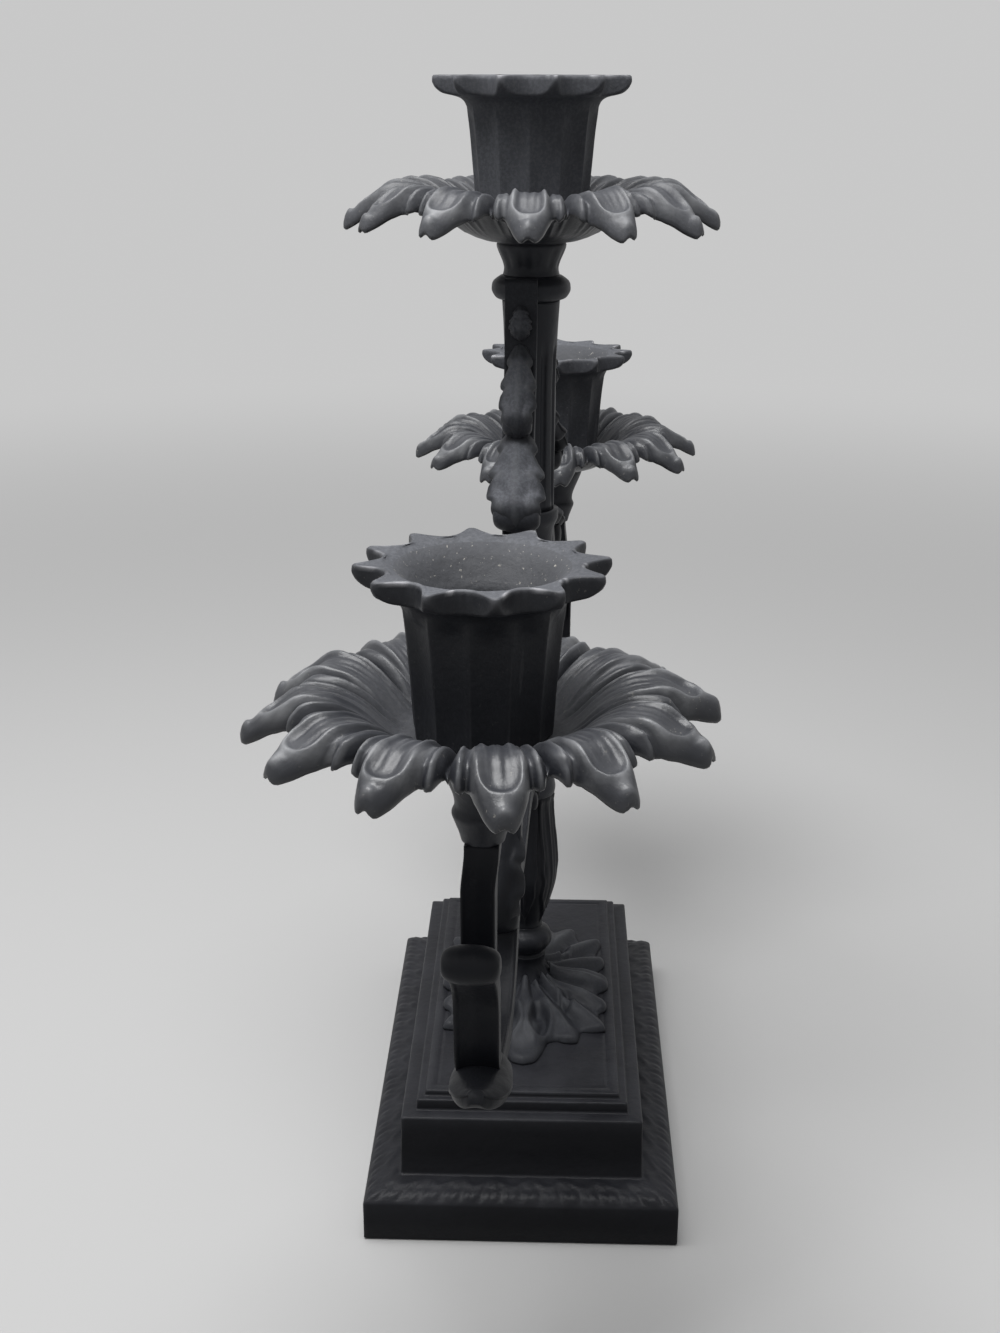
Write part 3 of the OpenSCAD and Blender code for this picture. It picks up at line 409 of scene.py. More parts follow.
def pan(name, centre, angle, seed, dust_and_light):
    """Twelve fluted leaves on a shallow floor, as one closed surface."""
    rng = np.random.default_rng(seed)
    columns = PAN_FINE * LEAVES
    a = np.arange(columns) * 360 / columns
    k = np.floor((a + HALF_ANGLE) / LEAF_ANGLE).astype(int) % LEAVES
    q = (a + HALF_ANGLE) % LEAF_ANGLE - HALF_ANGLE
    side = np.abs(q)
    mid = np.cos(np.radians(q * 6)) ** 2
    # Each leaf differs a little in length, tilt, sag and sway
    grow = rng.uniform(-0.006, 0.0, LEAVES)[k] * mid
    tilt = rng.uniform(-0.55, 0.55, LEAVES)[k] * np.sin(np.radians(12 * q))
    ragged = rng.normal(0, 1, columns)
    for _ in range(3):
        ragged = (np.roll(ragged, 1) + ragged + np.roll(ragged, -1)) / 3
    sag = np.array(PAN_SAGS[name])[k] * mid
    sway = rng.uniform(-0.8, 0.8, LEAVES)[k] * mid
    phase = rng.uniform(-0.5, 0.5, LEAVES)[k]
    edge = np.minimum(spline(side, LEAF_EDGE) * (1 + grow) + EDGE_RAGGED * ragged, PAN_R)
    rad = np.radians(a)
    rim = np.stack([edge * np.cos(rad), edge * np.sin(rad)], 1)
    top, low = [], []
    for t in PAN_SHARES:
        r = PAN_FLOOR_R + t * (edge - PAN_FLOOR_R)
        bend = np.radians(sway * ramp(r, 26, 50))
        x, y = r * np.cos(rad), r * np.sin(rad)
        near = to_outline(x, y, rim)
        x, y = r * np.cos(rad + bend), r * np.sin(rad + bend)
        gap = r * np.sin(np.radians(HALF_ANGLE - side))
        full = ramp(r, 16, 30)
        lift = spline(side, LEAF_LIFT) * full
        across = r * np.sin(np.radians(q))
        flute = (0.12 + 0.18 * ramp(side, 4, 6)) \
            * np.cos(2 * np.pi * (side / 3.7 + phase + 0.03 * (r - 30))) \
            * ramp(r, 21, 28) * (1 - ramp(r, 40, 44)) * ramp(gap, 0.8, 2.5)
        base = spline(r, PAN_PROFILE) + sag * ramp(r, 34, 49) + tilt * ramp(r, 24, 34)
        # The leaf's tongue ends in a round lip, and falls away outside it
        ahead = r * np.cos(np.radians(q)) - TONGUE_R
        half = TONGUE_HALF * np.minimum(r / TONGUE_R, 1)
        off = np.where(ahead > 0, np.hypot(across, ahead), np.abs(across)) - half
        tip = ramp(r, 36, 42)
        keel = bump(across, 0, 1.2) * ramp(ahead, 3.6, 5.2)
        slope = 0.3 * np.clip(off, 0, 4) * tip * (1 - keel) * ramp(side, 12, 8)
        lip = 0.75 * bump(off, 0.1, 0.8) * ramp(r, 33, 40) * ramp(side, 8.6, 7)
        dish = -0.5 * ramp(off, -0.4, -2.4) * tip
        # The edge rounds over, and a crease parts the leaf from the next
        edge_at = 1 - np.clip(near / EDGE_ROUND, 0, 1)
        drop = EDGE_DROP * (0.6 * (1 - np.sqrt(1 - edge_at ** 2)) + 0.4 * edge_at ** 1.3)
        crease = np.clip(1 - gap / (0.7 + 1.8 * full), 0, 1)
        crease = 3.3 * ramp(r, 18, 32) * (1 - np.sqrt(1 - crease ** 2))
        drop = np.maximum(drop, crease)
        wave = 0.22 * np.cos(2 * np.pi * (r / 4.3 + phase * 3)) * ramp(off, 0.8, 2) \
            * ramp(r, 36, 40) * ramp(near, 0.3, 1.5)
        z = base + lift + flute - drop - slope + lip + dish + wave
        # Dust near the cup, thinner in the creases between leaves as painted shade, and at least
        # the given dust, which on the centre pan is painted light
        dusty = np.maximum(0.75 * ramp(r, 34, 19) * (1 - 0.3 * ramp(gap, 3, 0)), dust_and_light)
        # Worn paint and painted highlight on the lips, the keels' tips and the flute crests
        wear_and_highlight = 0.8 * bump(off, 0.1, 0.75) * ramp(r, 31, 42) * ramp(side, 8.6, 7) \
            + 0.8 * keel * ramp(r, 44, 47) * ramp(near, 0.2, 1.2) \
            + 0.4 * ramp(flute, 0.05, 0.2)
        top.append(np.stack([x, y, z, dusty, wear_and_highlight], 1))
        under = base + 0.6 * lift - 2.4 - slope - 1.0 * edge_at
        under = np.minimum(under, z - 0.8)
        low.append(np.stack([x, y, under, 0 * r, 0 * r], 1))

    def ring(r, z, dusty=0.0):
        ones = np.ones(columns)
        return np.stack([r * np.cos(rad), r * np.sin(rad), z * ones, dusty * ones, 0 * ones], 1)

    inset = low[-1].copy()
    inset[:, :2] *= 0.99
    inset[:, 2] -= 0.1
    wall = low[-1].copy()
    wall[:, 2] = top[-1][:, 2] * 0.3 + low[-1][:, 2] * 0.7
    rows = [ring(r, z) for r, z in PAN_UNDER] + low[1:-1] + [inset, wall] + top[::-1]
    rows += [ring(r, FLOOR_H, FLOOR_DUST) for r in (14.5, PAN_HOLE_R)]
    rows = turned(np.array(rows), angle)
    rows[..., :3] += np.array(centre)
    piece(name, [(rows, True)], "pan_black", name, name)


# ---------------------------------------------------------------- cups

CUP_FINE = 30  # columns of points to a flute
CUP_HOLE_R = 2.58
CUP_FOOT_Z = 8
RIM_Z = 37
RIM_DUST = 0.9
NICKS = 34
# The rim's radius by degrees from a point, then (z, radius) up the body, and
# (radius, z) under the flare and down the funnel into the candle bore
RIM_EDGE = [(0, 26.3), (1.1, 26.25), (2.4, 25.5), (4.5, 23.9), (7.5, 22.3), (11, 21.2),
            (15, 20.8)]
CUP_BODY = [(0, 14.2), (1, 14.4), (9, 14.9), (16, 15.5), (23, 16.1), (27, 16.6), (29, 16.9)]
CUP_UNDER = [(16.8, 28.6), (17.3, 29.9), (18.2, 31.0), (19.6, 31.7), (21.5, 32.1),
             (23.5, 32.6), (25.2, 33.7), (26.3, 34.9)]
CUP_FUNNEL = [(20, 36.7), (19, 36.4), (18, 36.0), (16.5, 34.9), (15, 33.2), (13.5, 31.0),
              (12.2, 29.2), (11.4, 28.0), (11.2, 27.0), (11.2, 10.6), (10.9, 10.5)]
CUP_RINGS = (0.4, 1, 2, 3.5, 6, 9, 12, 15, 18, 21, 23.5, 25.5, 27)
FLARE_SHARES = (0.04, 0.1, 0.2, 0.34, 0.5, 0.66, 0.8, 0.91, 0.97)
INSIDE_R = 17.6
INSIDE_Z = (10.4, 36.2)


def cup(name, centre, angle, seed, dusty):
    """A fluted cup that flares to a pointed rim, hollow for a candle."""
    rng = np.random.default_rng(seed)
    columns = CUP_FINE * LEAVES
    a = np.arange(columns) * 360 / columns
    rad = np.radians(a)
    q = np.abs((a + HALF_ANGLE) % LEAF_ANGLE - HALF_ANGLE)
    edge = spline(q, RIM_EDGE)
    nicks = sum(rng.uniform(0.2, 1) * bump((a - where + 180) % 360 - 180, 0, wide)
                for where, wide in zip(rng.uniform(0, 360, NICKS), rng.uniform(0.8, 3, NICKS)))
    nicks = np.clip(nicks, 0, 1)

    # The rings carry rim wear and the cup's dust, which on the centre cup is also painted light
    def ring(r, z, wear_and_highlight=0.0, dust_and_light=dusty):
        ones = np.ones(columns)
        return np.stack([r * np.cos(rad) * ones, r * np.sin(rad) * ones, z * ones,
                         dust_and_light * ones, wear_and_highlight * ones], 1)

    def fluted(z):
        scoop = np.clip(1 - (q / 12.6) ** 2, 0, 1)
        depth = 0.95 * (0.55 + 0.45 * ramp(z, 0, 2)) * (1 - ramp(z, 25, 30))
        rib = 0.28 * bump(q, HALF_ANGLE, 1.5) * (1 - ramp(z, 27, 31))
        return float(spline(z, CUP_BODY)) - depth * scoop + rib

    rows = [ring(CUP_HOLE_R, CUP_FOOT_Z), ring(CUP_HOLE_R, 0), ring(10.0, 0),
            ring(fluted(0) - 0.5, 0)]
    rows += [ring(fluted(z), z) for z in CUP_RINGS]
    start = fluted(28.0)
    for s in FLARE_SHARES:
        r = start + (edge - 0.3 - start) * s
        rows.append(ring(r, spline(r, CUP_UNDER) - 0.35 * (1 - ramp(s, 0, 0.2))))
    # The rim's edge, nicked along its arris, then its dusty top
    wall_z = spline(edge, CUP_UNDER)
    rows += [ring(edge - 0.08, wall_z + 0.3), ring(edge, wall_z + 0.7), ring(edge, 35.9),
             ring(edge - 0.1, 36.65, 0.6 * nicks), ring(edge - 0.5, RIM_Z, nicks, 0.4),
             ring(edge - 0.95, RIM_Z, 0.5 * nicks, RIM_DUST)]
    rows += [ring(20 + (edge - 0.95 - 20) * s, 36.7 + 0.27 * s ** 0.6, 0, RIM_DUST)
             for s in (0.75, 0.5, 0.25, 0.1)]
    rows += [ring(np.minimum(r, edge - 1.0 + 0.05 * (r - 20)), z, 0,
                  RIM_DUST - 0.6 * ramp(z, 36, 32)) for r, z in CUP_FUNNEL]
    rows = turned(np.array(rows), angle)
    rows[..., :3] += np.array(centre)
    mesh = piece(name, [(rows, False)], "cup_black", name, name).data

    # The dusty inside: the faces near the axis that look inward
    mesh.materials.append(MATS["cup_inside"])
    axis = Vector((centre[0] * MM, centre[1] * MM))
    low, high = [(centre[2] + z) * MM for z in INSIDE_Z]
    for poly in mesh.polygons:
        c = poly.center
        out = Vector((c.x, c.y)) - axis
        if out.length < INSIDE_R * MM and low < c.z < high \
                and poly.normal.dot(Vector((-out.x, -out.y, 0.02))) > 0:
            poly.material_index = 1


# ---------------------------------------------------------------- sweeps and leaves

def at(share):
    """The (x, z) of a point given as shares of the arm's reach and rise."""
    return [share[0] * REACH, BEND_Z + share[1] * RISE]


def outward(line):
    """Normals along a line of (x, z, ...) points, on its left."""
    d = np.gradient(line[:, :2], axis=0)
    d /= np.linalg.norm(d, axis=1)[:, None]
    return np.stack([-d[:, 1], d[:, 0]], 1)


# A strap's face across its width, as (share of the half width, height)
STRAP = [(-1, -0.55), (-1, 0.1), (-0.985, 0.5), (-0.93, 0.72), (-0.84, 0.72), (-0.77, 0.45),
         (-0.7, 0.08), (-0.45, -0.1), (-0.2, 0.06), (0, 0.14), (0.2, 0.06), (0.45, -0.1),
         (0.7, 0.08), (0.77, 0.45), (0.84, 0.72), (0.93, 0.72), (0.985, 0.5), (1, 0.1), (1, -0.55)]


def strap(points, width, count, plain=0.0, rails=1.0):
    """A band swept along (x, z, thickness), its edges raised past the plain share."""
    line = even(smooth(points, 12), count)
    normal = outward(line)
    v, h = np.array(STRAP).T
    rows = []
    for i, (x, z, t) in enumerate(line):
        half = t / 2
        rail = rails * (ramp(i / (count - 1), plain, plain + 0.05) if plain else 1.0)
        outer = half + np.where(h > 0.3, (h - 0.3) * rail,
                                np.where(h < -0.3, -0.55 * half, h * 0.8 * rail))
        ring_v = np.concatenate([v, v[::-1]]) * width / 2
        ring_h = np.concatenate([outer, -outer[::-1]])
        rows.append(np.stack([x + normal[i, 0] * ring_h, ring_v, z + normal[i, 1] * ring_h], 1))
    return np.array(rows)


ROLL_ROWS, ROLL_COLUMNS = 33, 40
ROLL_SHAPE = [(0, 1), (0.3, 0.985), (0.55, 0.92), (0.75, 0.82), (0.88, 0.69), (0.95, 0.54),
              (0.985, 0.36), (1, 0.15)]


def roll(centre, radius, width):
    """A short roll across the arm, fullest at its middle."""
    across = np.sin(np.linspace(-1, 1, ROLL_ROWS) * np.pi / 2)
    r = radius * spline(np.abs(across), ROLL_SHAPE)
    a = np.linspace(0, 2 * np.pi, ROLL_COLUMNS, endpoint=False)
    return np.array([np.stack([centre[0] + rr * np.cos(a),
                               np.full(ROLL_COLUMNS, vv * width / 2),
                               centre[1] + rr * np.sin(a)], 1) for vv, rr in zip(across, r)])


LEAF_ROWS, LEAF_HALF = 64, 16  # points along a leaf, and across each half
# An acanthus leaf's line as shares (out, up) of its length, and its thickness
# and half width by the share of the way along
SPINE = [(0, 0), (0.26, 0.1), (0.52, 0.22), (0.76, 0.32), (0.94, 0.3), (1.02, 0.17), (0.95, 0.05),
         (0.86, 0.06)]
SPINE_THICK = [(0, 2.2), (0.2, 2.4), (0.41, 2.1), (0.59, 1.8), (0.72, 1.6), (0.83, 1.4),
               (0.93, 1.2), (1, 0.9)]
LOBES = [(0, 0.4), (0.07, 0.62), (0.12, 0.7), (0.16, 0.58), (0.21, 0.7), (0.31, 0.95),
         (0.355, 0.96), (0.39, 0.78), (0.45, 0.95), (0.515, 1.0), (0.56, 0.98), (0.6, 0.8),
         (0.66, 0.84), (0.71, 0.8), (0.76, 0.66), (0.835, 0.6), (0.9, 0.5), (0.95, 0.4), (1, 0.2)]


def leaf(root, angle, length, width, thick, droop=0.26, spine=SPINE, lobes=LOBES, relief=1.0,
         dust_and_light=0.0):
    """An acanthus leaf that runs out from its root and rolls over at its tip."""
    line = even(smooth([(x * length, z * length) for x, z in spine], 14), LEAF_ROWS)
    normal = outward(line)
    c, s = math.cos(angle), math.sin(angle)
    v = np.sin(np.linspace(-1, 1, 2 * LEAF_HALF + 1) * np.pi / 2)
    side = np.abs(v)
    rows = []
    for i in range(LEAF_ROWS):
        u = i / (LEAF_ROWS - 1)
        w = width / 2 * float(spline(u, lobes))
        t = thick * float(spline(u, SPINE_THICK))
        fade = math.sin(u * math.pi) ** 0.5 if 0 < u < 1 else 0.0
        flute = 0.1 * w * np.cos(2 * np.pi * (u * 4.2 + 0.45 * side)) * ramp(side, 0.14, 0.5)
        rib = 0.07 * w * bump(v, 0, 0.2) - 0.06 * w * bump(side, 0.42, 0.09)
        top = t * (0.5 - 0.3 * side ** 3) - droop * w * side ** 2.2 + relief * fade * (flute + rib)
        low = top - t * np.clip(1 - v ** 6, 0.16, 1)
        push = 0.1 * width * relief * v ** 2 * (1 - u) * min(1, 4 * u)
        h = np.concatenate([top, low[::-1]])
        across = np.concatenate([v, v[::-1]]) * w
        ahead = np.concatenate([push, push[::-1]])
        x = line[i, 0] + normal[i, 0] * h + normal[i, 1] * ahead
        z = line[i, 1] + normal[i, 1] * h - normal[i, 0] * ahead
        # Wear and painted highlight along the ridges, much weaker on leaves with no dust, which
        # stay dark as painted shade under the pans
        ridge_wear_and_highlight = (0.08 + 0.4 * dust_and_light) * ramp(flute + rib, 0.02 * w, 0.09 * w) * fade * relief
        ridge_wear_and_highlight = np.concatenate([ridge_wear_and_highlight, 0 * ridge_wear_and_highlight])
        # Dust on the leaf's face, which is also painted light that lightens the upper leaves
        dusty = dust_and_light * ramp(u, 0.05, 0.2) * ramp(u, 0.7, 0.6) * ramp(side, 1, 0.7)
        dusty = np.concatenate([dusty, 0 * dusty])
        rows.append(np.stack([root[0] + x * c + z * s, across, root[1] - x * s + z * c,
                              dusty, ridge_wear_and_highlight], 1))
    return np.array(rows)


# ---------------------------------------------------------------- arms

# Lines as shares (reach, rise), with their thicknesses as shares of the limb's
LIMB = [(0.1, 0.86), (0.145, 0.75), (0.215, 0.645), (0.315, 0.545), (0.425, 0.45), (0.52, 0.35),
        (0.585, 0.24), (0.63, 0.135), (0.7, 0.045), (0.805, 0), (0.9, 0.006), (0.99, 0.02),
        (1.04, 0.029)]
LIMB_T_SHARES = [0.62, 0.72, 0.82, 0.9, 0.96, 1, 1, 1, 1, 0.96, 0.84, 0.66, 0.5]
SCROLL = [(1, 0.02), (1.015, 0.07), (1.02, 0.12), (1.03, 0.165), (1.06, 0.204), (1.1, 0.234),
          (1.13, 0.254)]
SCROLL_T = [0.7, 0.76, 0.76, 0.74, 0.7, 0.66, 0.6]
BRIDGE = [(0.15, 0.142), (0.25, 0.138), (0.35, 0.112), (0.45, 0.108), (0.53, 0.15),
          (0.585, 0.215)]
RISER = [(1.018, 0.15), (1.006, 0.2), (1.002, 0.25)]
RISER_TOP = [(9.6, 7.7), (4.8, 8.5), (0.1, 8.6)]  # (mm under the socket, thickness)
ROLL_AT = at((1.15, 0.266))
FOOT_CURL = (14.34, 105.92)
COLLAR_R = 9.05
STRAP_T = 3.2
SIDE_SHIFT = 1.8
# Root, heading in degrees below level, length, width, thickness and dust; the dust is also painted
# light, lighter on the upper leaves and none on the lowest, which stays dark as painted shade under
# the pans
ARM_LEAVES = [((0.086, 0.992), 78, 6.8, 6.2, 1.8, 0.9), ((0.092, 0.925), 73, 21.6, 9.9, 2.6, 1.0),
              ((0.14, 0.79), 62, 25.65, 15.4, 2.6, 1.0), ((0.3, 0.575), 44, 33.75, 14.2, 2.6, 0.3),
              ((0.56, 0.29), 76, 31.5, 11.6, 2.6, 0.0)]
TOE_SPINE = [(0, 0), (0.3, -0.01), (0.6, -0.005), (0.84, 0.015), (0.95, 0.05), (1, 0.085)]
TOE_LOBES = [(0, 0.5), (0.1, 0.8), (0.3, 0.95), (0.5, 1), (0.65, 0.97), (0.8, 0.8), (0.92, 0.52),
             (1, 0.25)]


def arm(name, half_turn):
    """Strap, limb, scroll, riser, bridge and leaves, pushed into one another."""
    strap_x = COLLAR_R + STRAP_T / 2
    limb = [[strap_x, z, STRAP_T] for z in (NECK_Z, RING_Z, 240.3)]
    limb += [at(s) + [t * LIMB_T] for s, t in zip(LIMB, LIMB_T_SHARES)]
    scroll = strap([at(s) + [t * LIMB_T] for s, t in zip(SCROLL, SCROLL_T)], 10, 60, rails=0.4)
    riser = [at(s) + [0.9 * LIMB_T] for s in RISER]
    riser += [[REACH, SOCKET_Z - z, t] for z, t in RISER_TOP]
    riser = strap(riser, 7.4, 36, rails=0.35)
    end_roll = roll(ROLL_AT, 4.2, 12.6)
    bridge = [[8.5, 108.95, 4.2]] + [at(s) + [0.62 * LIMB_T] for s in BRIDGE]
    # The scroll and the riser lean a little to one side, as in the photo
    scroll[..., 1] -= 1.1 * ramp(scroll[..., 2], BEND_Z, BEND_Z + 8)
    riser[..., 1] -= 0.9 * ramp(riser[..., 2], SOCKET_Z - 1, SOCKET_Z - 12)
    end_roll[..., 1] -= 0.6
    parts = [strap(limb, 8.4, 170, plain=0.07, rails=0.6), scroll, riser, end_roll,
             strap(bridge, 6.4, 70, rails=0.6), roll(FOOT_CURL, 3.36, 8.4)]
    for share, angle, length, width, thick, dust_and_light in ARM_LEAVES:
        heading = math.radians(angle)
        parts.append(leaf(at(share), heading, length, width, thick, dust_and_light=dust_and_light))
        x, z = 0.93 * length, 0.22 * length
        curl = [at(share)[0] + x * math.cos(heading) + z * math.sin(heading),
                at(share)[1] - x * math.sin(heading) + z * math.cos(heading)]
        parts.append(roll(curl, 0.155 * length, 0.8 * width))
    parts.append(leaf(at((0.95, 0.014)), math.radians(-9), 24.2, 13.9, 3.4, 0.12, TOE_SPINE,
                      TOE_LOBES, relief=0.05))
    # The plate that the screws hold to the shaft's flat
    parts.append(np.array([[[x, y, z] for x, y in ((8.45, -4.2), (11.65, -4.2), (11.65, 4.2),
                                                  (8.45, 4.2))] for z in (105.7, 122.0)]))
    # The upper part stands to one side of the column, with some dust on it that is also painted
    # light, lighter towards the top
    for i, rows in enumerate(parts):
        rows[..., 1] -= SIDE_SHIFT * ramp(rows[..., 2], 175, 215)
        if rows.shape[2] == 3:
            parts[i] = rows = np.concatenate([rows, 0 * rows[..., :2]], 2)
        rows[..., 3] = np.maximum(rows[..., 3], 0.3 * ramp(rows[..., 2], 150, 230))
    piece(name, [(turned(p, TURN + half_turn), False) for p in parts], "ornament_black", "stem",
          name)


# ---------------------------------------------------------------- stem

SOCKET = [(4.7, 0), (5.2, 1.9), (6.2, 4.6), (6.7, 6.3), (6.1, 8.1), (6.5, 10.8), (8.2, 15),
          (9.3, 17.9), (9.1, 19.2)]
# Half width of a hanging leaf in degrees, from its root at the top to its tip
BUD_LEAF = [(0, 26), (0.12, 29), (0.3, 27), (0.42, 24), (0.5, 27), (0.62, 22), (0.72, 23),
            (0.82, 14), (0.93, 0.5), (1, 0.2)]


def lathe(name, slot, profile, columns=96, n=6, shape=None, turn=TURN, axis=CENTRE_AXIS):
    """A turned piece from (radius, z) knots, with an optional change of radius."""
    a = np.linspace(0, 2 * np.pi, columns, endpoint=False)
    rows = []
    for r, z in smooth(profile, n):
        rr = r + (shape(a, z) if shape else 0)
        rows.append(np.stack([rr * np.cos(a), rr * np.sin(a), np.full(columns, z)], 1))
    rows = turned(np.array(rows), turn)
    rows[..., :2] += axis
    piece(name, [(rows, False)], slot, "stem", name)


def bud_relief(a, z):
    """Six hanging leaves on the bud, and smaller ones between their tips."""
    u = 1 - (z - BUD_Z) / BUD_H
    q = (np.degrees(a) + 30) % 60 - 30
    half = spline(u, BUD_LEAF)
    between = np.degrees(a) % 60 - 30
    inside = ramp(half - np.abs(q), -1.5, 2.0)
    rim = bump(half - np.abs(q), 3, 2.2)
    vein = bump(q, 0, 2.2) * ramp(u, 0.03, 0.2) * ramp(u, 0.9, 0.75)
    flute = np.cos(np.radians(np.abs(q) * 15 + 300 * u)) * ramp(np.abs(q), 3, 9)
    small = ramp(9 - np.abs(between) - 16 * ramp(u, 0.5, 0.95), -1.5, 1.5) \
        * ramp(u, 0.05, 0.1) * ramp(u, 0.75, 0.5)
    return (0.55 * inside + 0.3 * rim + 0.3 * vein + 0.13 * flute * inside) \
        * ramp(z, BUD_Z, BUD_Z + 3) * ramp(z, SHAFT_Z, SHAFT_Z - 1.5) + 0.2 * small


def flutes(count, sharp, depth, start, end):
    """Grooves down a turned piece that fade in and out at (from, to) heights."""
    return lambda a, z: -depth * np.abs(np.sin(count * a)) ** sharp * ramp(z, *start) \
        * ramp(z, *end)


def stem():
    """The turned and leafy parts from the foot up, and the sockets on the arms."""
    lathe("foot_knob", "ornament_black", [(5.8, KNOB_Z), (5.7, 50.7), (7.3, 52.4), (7.9, 54.4),
                                          (7.4, 56.4), (5.3, 58.0), (4.9, BUD_Z)],
          shape=flutes(6, 3, 0.22, (50.5, 52.5), (58, 56)))
    lathe("leaf_bud", "ornament_black", [(4.9, BUD_Z), (5.1, 61.7), (6.7, 67.9), (8.3, 74.1),
                                         (8.7, 78.9), (8.3, 85.5), (7.4, 93.4), (7.0, 99.6),
                                         (7.5, SHAFT_Z - 0.6), (7.4, SHAFT_Z)],
          columns=216, shape=bud_relief)
    lathe("stem_shaft", "stem_black", [(8.2, SHAFT_Z), (8.4, 104.6), (8.1, 106.5), (6.9, 112),
                                       (6.5, 122), (6.3, 128), (7.2, 139), (8.3, 150),
                                       (7.9, 163), (6.6, 177), (6.7, 183), (8.0, 186.5),
                                       (8.05, COLUMN_Z)],
          shape=lambda a, z: -0.35 * np.abs(np.cos(5 * a)) ** 6 * ramp(z, 128, 134)
          * ramp(z, 176, 170))
    # Flats on the shaft that carry the arms' plates
    pads = np.array([[[x, y, z] for x, y in ((-8.4, -4.2), (8.4, -4.2), (8.4, 4.2), (-8.4, 4.2))]
                     for z in (105.7, 106, 121.8, 122.1)])
    piece("shaft_pads", [(turned(pads, TURN), False)], "stem_black", "stem")
    lathe("upper_column", "stem_black", [(6.8, COLUMN_Z), (6.8, 206), (6.85, 224), (7.3, 238),
                                         (7.8, RING_Z)], columns=160, n=8,
          shape=lambda a, z: -0.75 * np.clip(np.cos(10 * a), 0, 1) ** 0.7 * ramp(z, 190, 192.5)
          * ramp(z, 236, 231))
    lathe("ring_collar", "stem_black", [(7.9, RING_Z), (9.4, 247.2), (10.4, 248.6),
                                        (10.6, 249.8), (10.2, 251.4), (8.6, 252.7),
                                        (7.7, NECK_Z)])
    lathe("neck", "stem_black", [(7.6, NECK_Z), (7.3, 254.8), (7.7, 256.6), (8.9, 259.4),
                                 (9.3, 260.8), (9.15, SEAT_Z)],
          shape=flutes(6, 4, 0.25, (254.5, 256), (261, 259.5)))
    for label, axis in (("front", FRONT_AXIS), ("rear", REAR_AXIS)):
        lathe(label + "_socket", "stem_black", [(r, SOCKET_Z + z) for r, z in SOCKET], turn=0,
              axis=axis)


# ---------------------------------------------------------------- plinth

# The plinth's rings: their corners' radius, the points along a long side, a
# short side and a corner, and the mark of a corner's points
CORNER_R = 0.5
LONG_POINTS, SHORT_POINTS, CORNER_STEPS = 236, 136, 4
CORNER_MARK = 99


def oblong(hx, hy, z):
    """A closed ring round an oblong, and each point's place along the slab's side."""
    pts = []
    for sx, sy, a0 in ((1, 1, 0), (-1, 1, 90), (-1, -1, 180), (1, -1, 270)):
        for i in range(CORNER_STEPS + 1):
            a = math.radians(a0 + 90 * i / CORNER_STEPS)
            pts.append((sx * (hx - CORNER_R) + CORNER_R * math.cos(a),
                        sy * (hy - CORNER_R) + CORNER_R * math.sin(a), CORNER_MARK))
        if a0 in (0, 180):
            xs = np.linspace(sx * (hx - CORNER_R), -sx * (hx - CORNER_R), LONG_POINTS + 2)
            pts.extend((x, sy * hy, x * SLAB_X / hx) for x in xs[1:-1])
        else:
            ys = np.linspace(sy * (hy - CORNER_R), -sy * (hy - CORNER_R), SHORT_POINTS + 2)
            pts.extend((sx * hx, y, y * SLAB_Y / hy) for y in ys[1:-1])
    pts = np.array(pts)
    return np.column_stack([pts[:, :2], np.full(len(pts), z)]), pts[:, 2]


def oblongs(sizes):
    """Rings from their (half length, half width, z)."""
    return [oblong(*size)[0] for size in sizes]


LEAF_PITCH = 5.76
MOULDING_Z = 11.9
MOULDING_RISE = 2.7
MOULDING_INSET = (0.3, 9.2)
# (share of the way in, share of the rise)
MOULDING = [(0, 0), (0.05, 0.12), (0.11, 0.26), (0.18, 0.4), (0.26, 0.52), (0.34, 0.62),
            (0.42, 0.7), (0.5, 0.77), (0.58, 0.83), (0.66, 0.88), (0.75, 0.92), (0.84, 0.96),
            (0.92, 0.985), (1, 1)]


def moulding():
    """Rings of the moulding, with a row of leaves below and a low scroll above."""
    rng = np.random.default_rng(11)
    rings = []
    for share, rise in MOULDING:
        inset = MOULDING_INSET[0] + MOULDING_INSET[1] * share
        ring, along = oblong(SLAB_X - inset, SLAB_Y - inset, MOULDING_Z + MOULDING_RISE * rise)
        cell = along / LEAF_PITCH
        count = np.floor(cell).astype(int)
        uneven = 0.75 + 0.25 * np.sin(count * 2.3) * np.cos(count * 1.1)
        lobe = np.abs(np.cos(np.pi * (cell - 0.5)))
        leaves = 0.75 * uneven * lobe ** 0.7 * bump(share, 0.2 + 0.1 * (1 - lobe), 0.17)
        vein = -0.25 * bump(cell - count, 0.5, 0.09) * bump(share, 0.22, 0.14)
        path = 0.66 + 0.13 * np.sin(2 * np.pi * cell / 2)
        scroll = 0.5 * uneven * bump(share, path, 0.11)
        curl = 0.35 * bump((cell / 2) % 1, 0.25, 0.12) * bump(share, 0.6, 0.1)
        rough = rng.normal(0, 0.05, len(along))
        rough = np.convolve(np.concatenate([rough[-2:], rough, rough[:2]]), np.ones(5) / 5, "valid")
        fade = ramp(share, 0, 0.1) * ramp(share, 1, 0.9)
        relief = np.where(along == CORNER_MARK, 0.2, leaves + vein + scroll + curl)
        ring[:, 2] += (relief + rough) * fade
        rings.append(ring)
    return rings


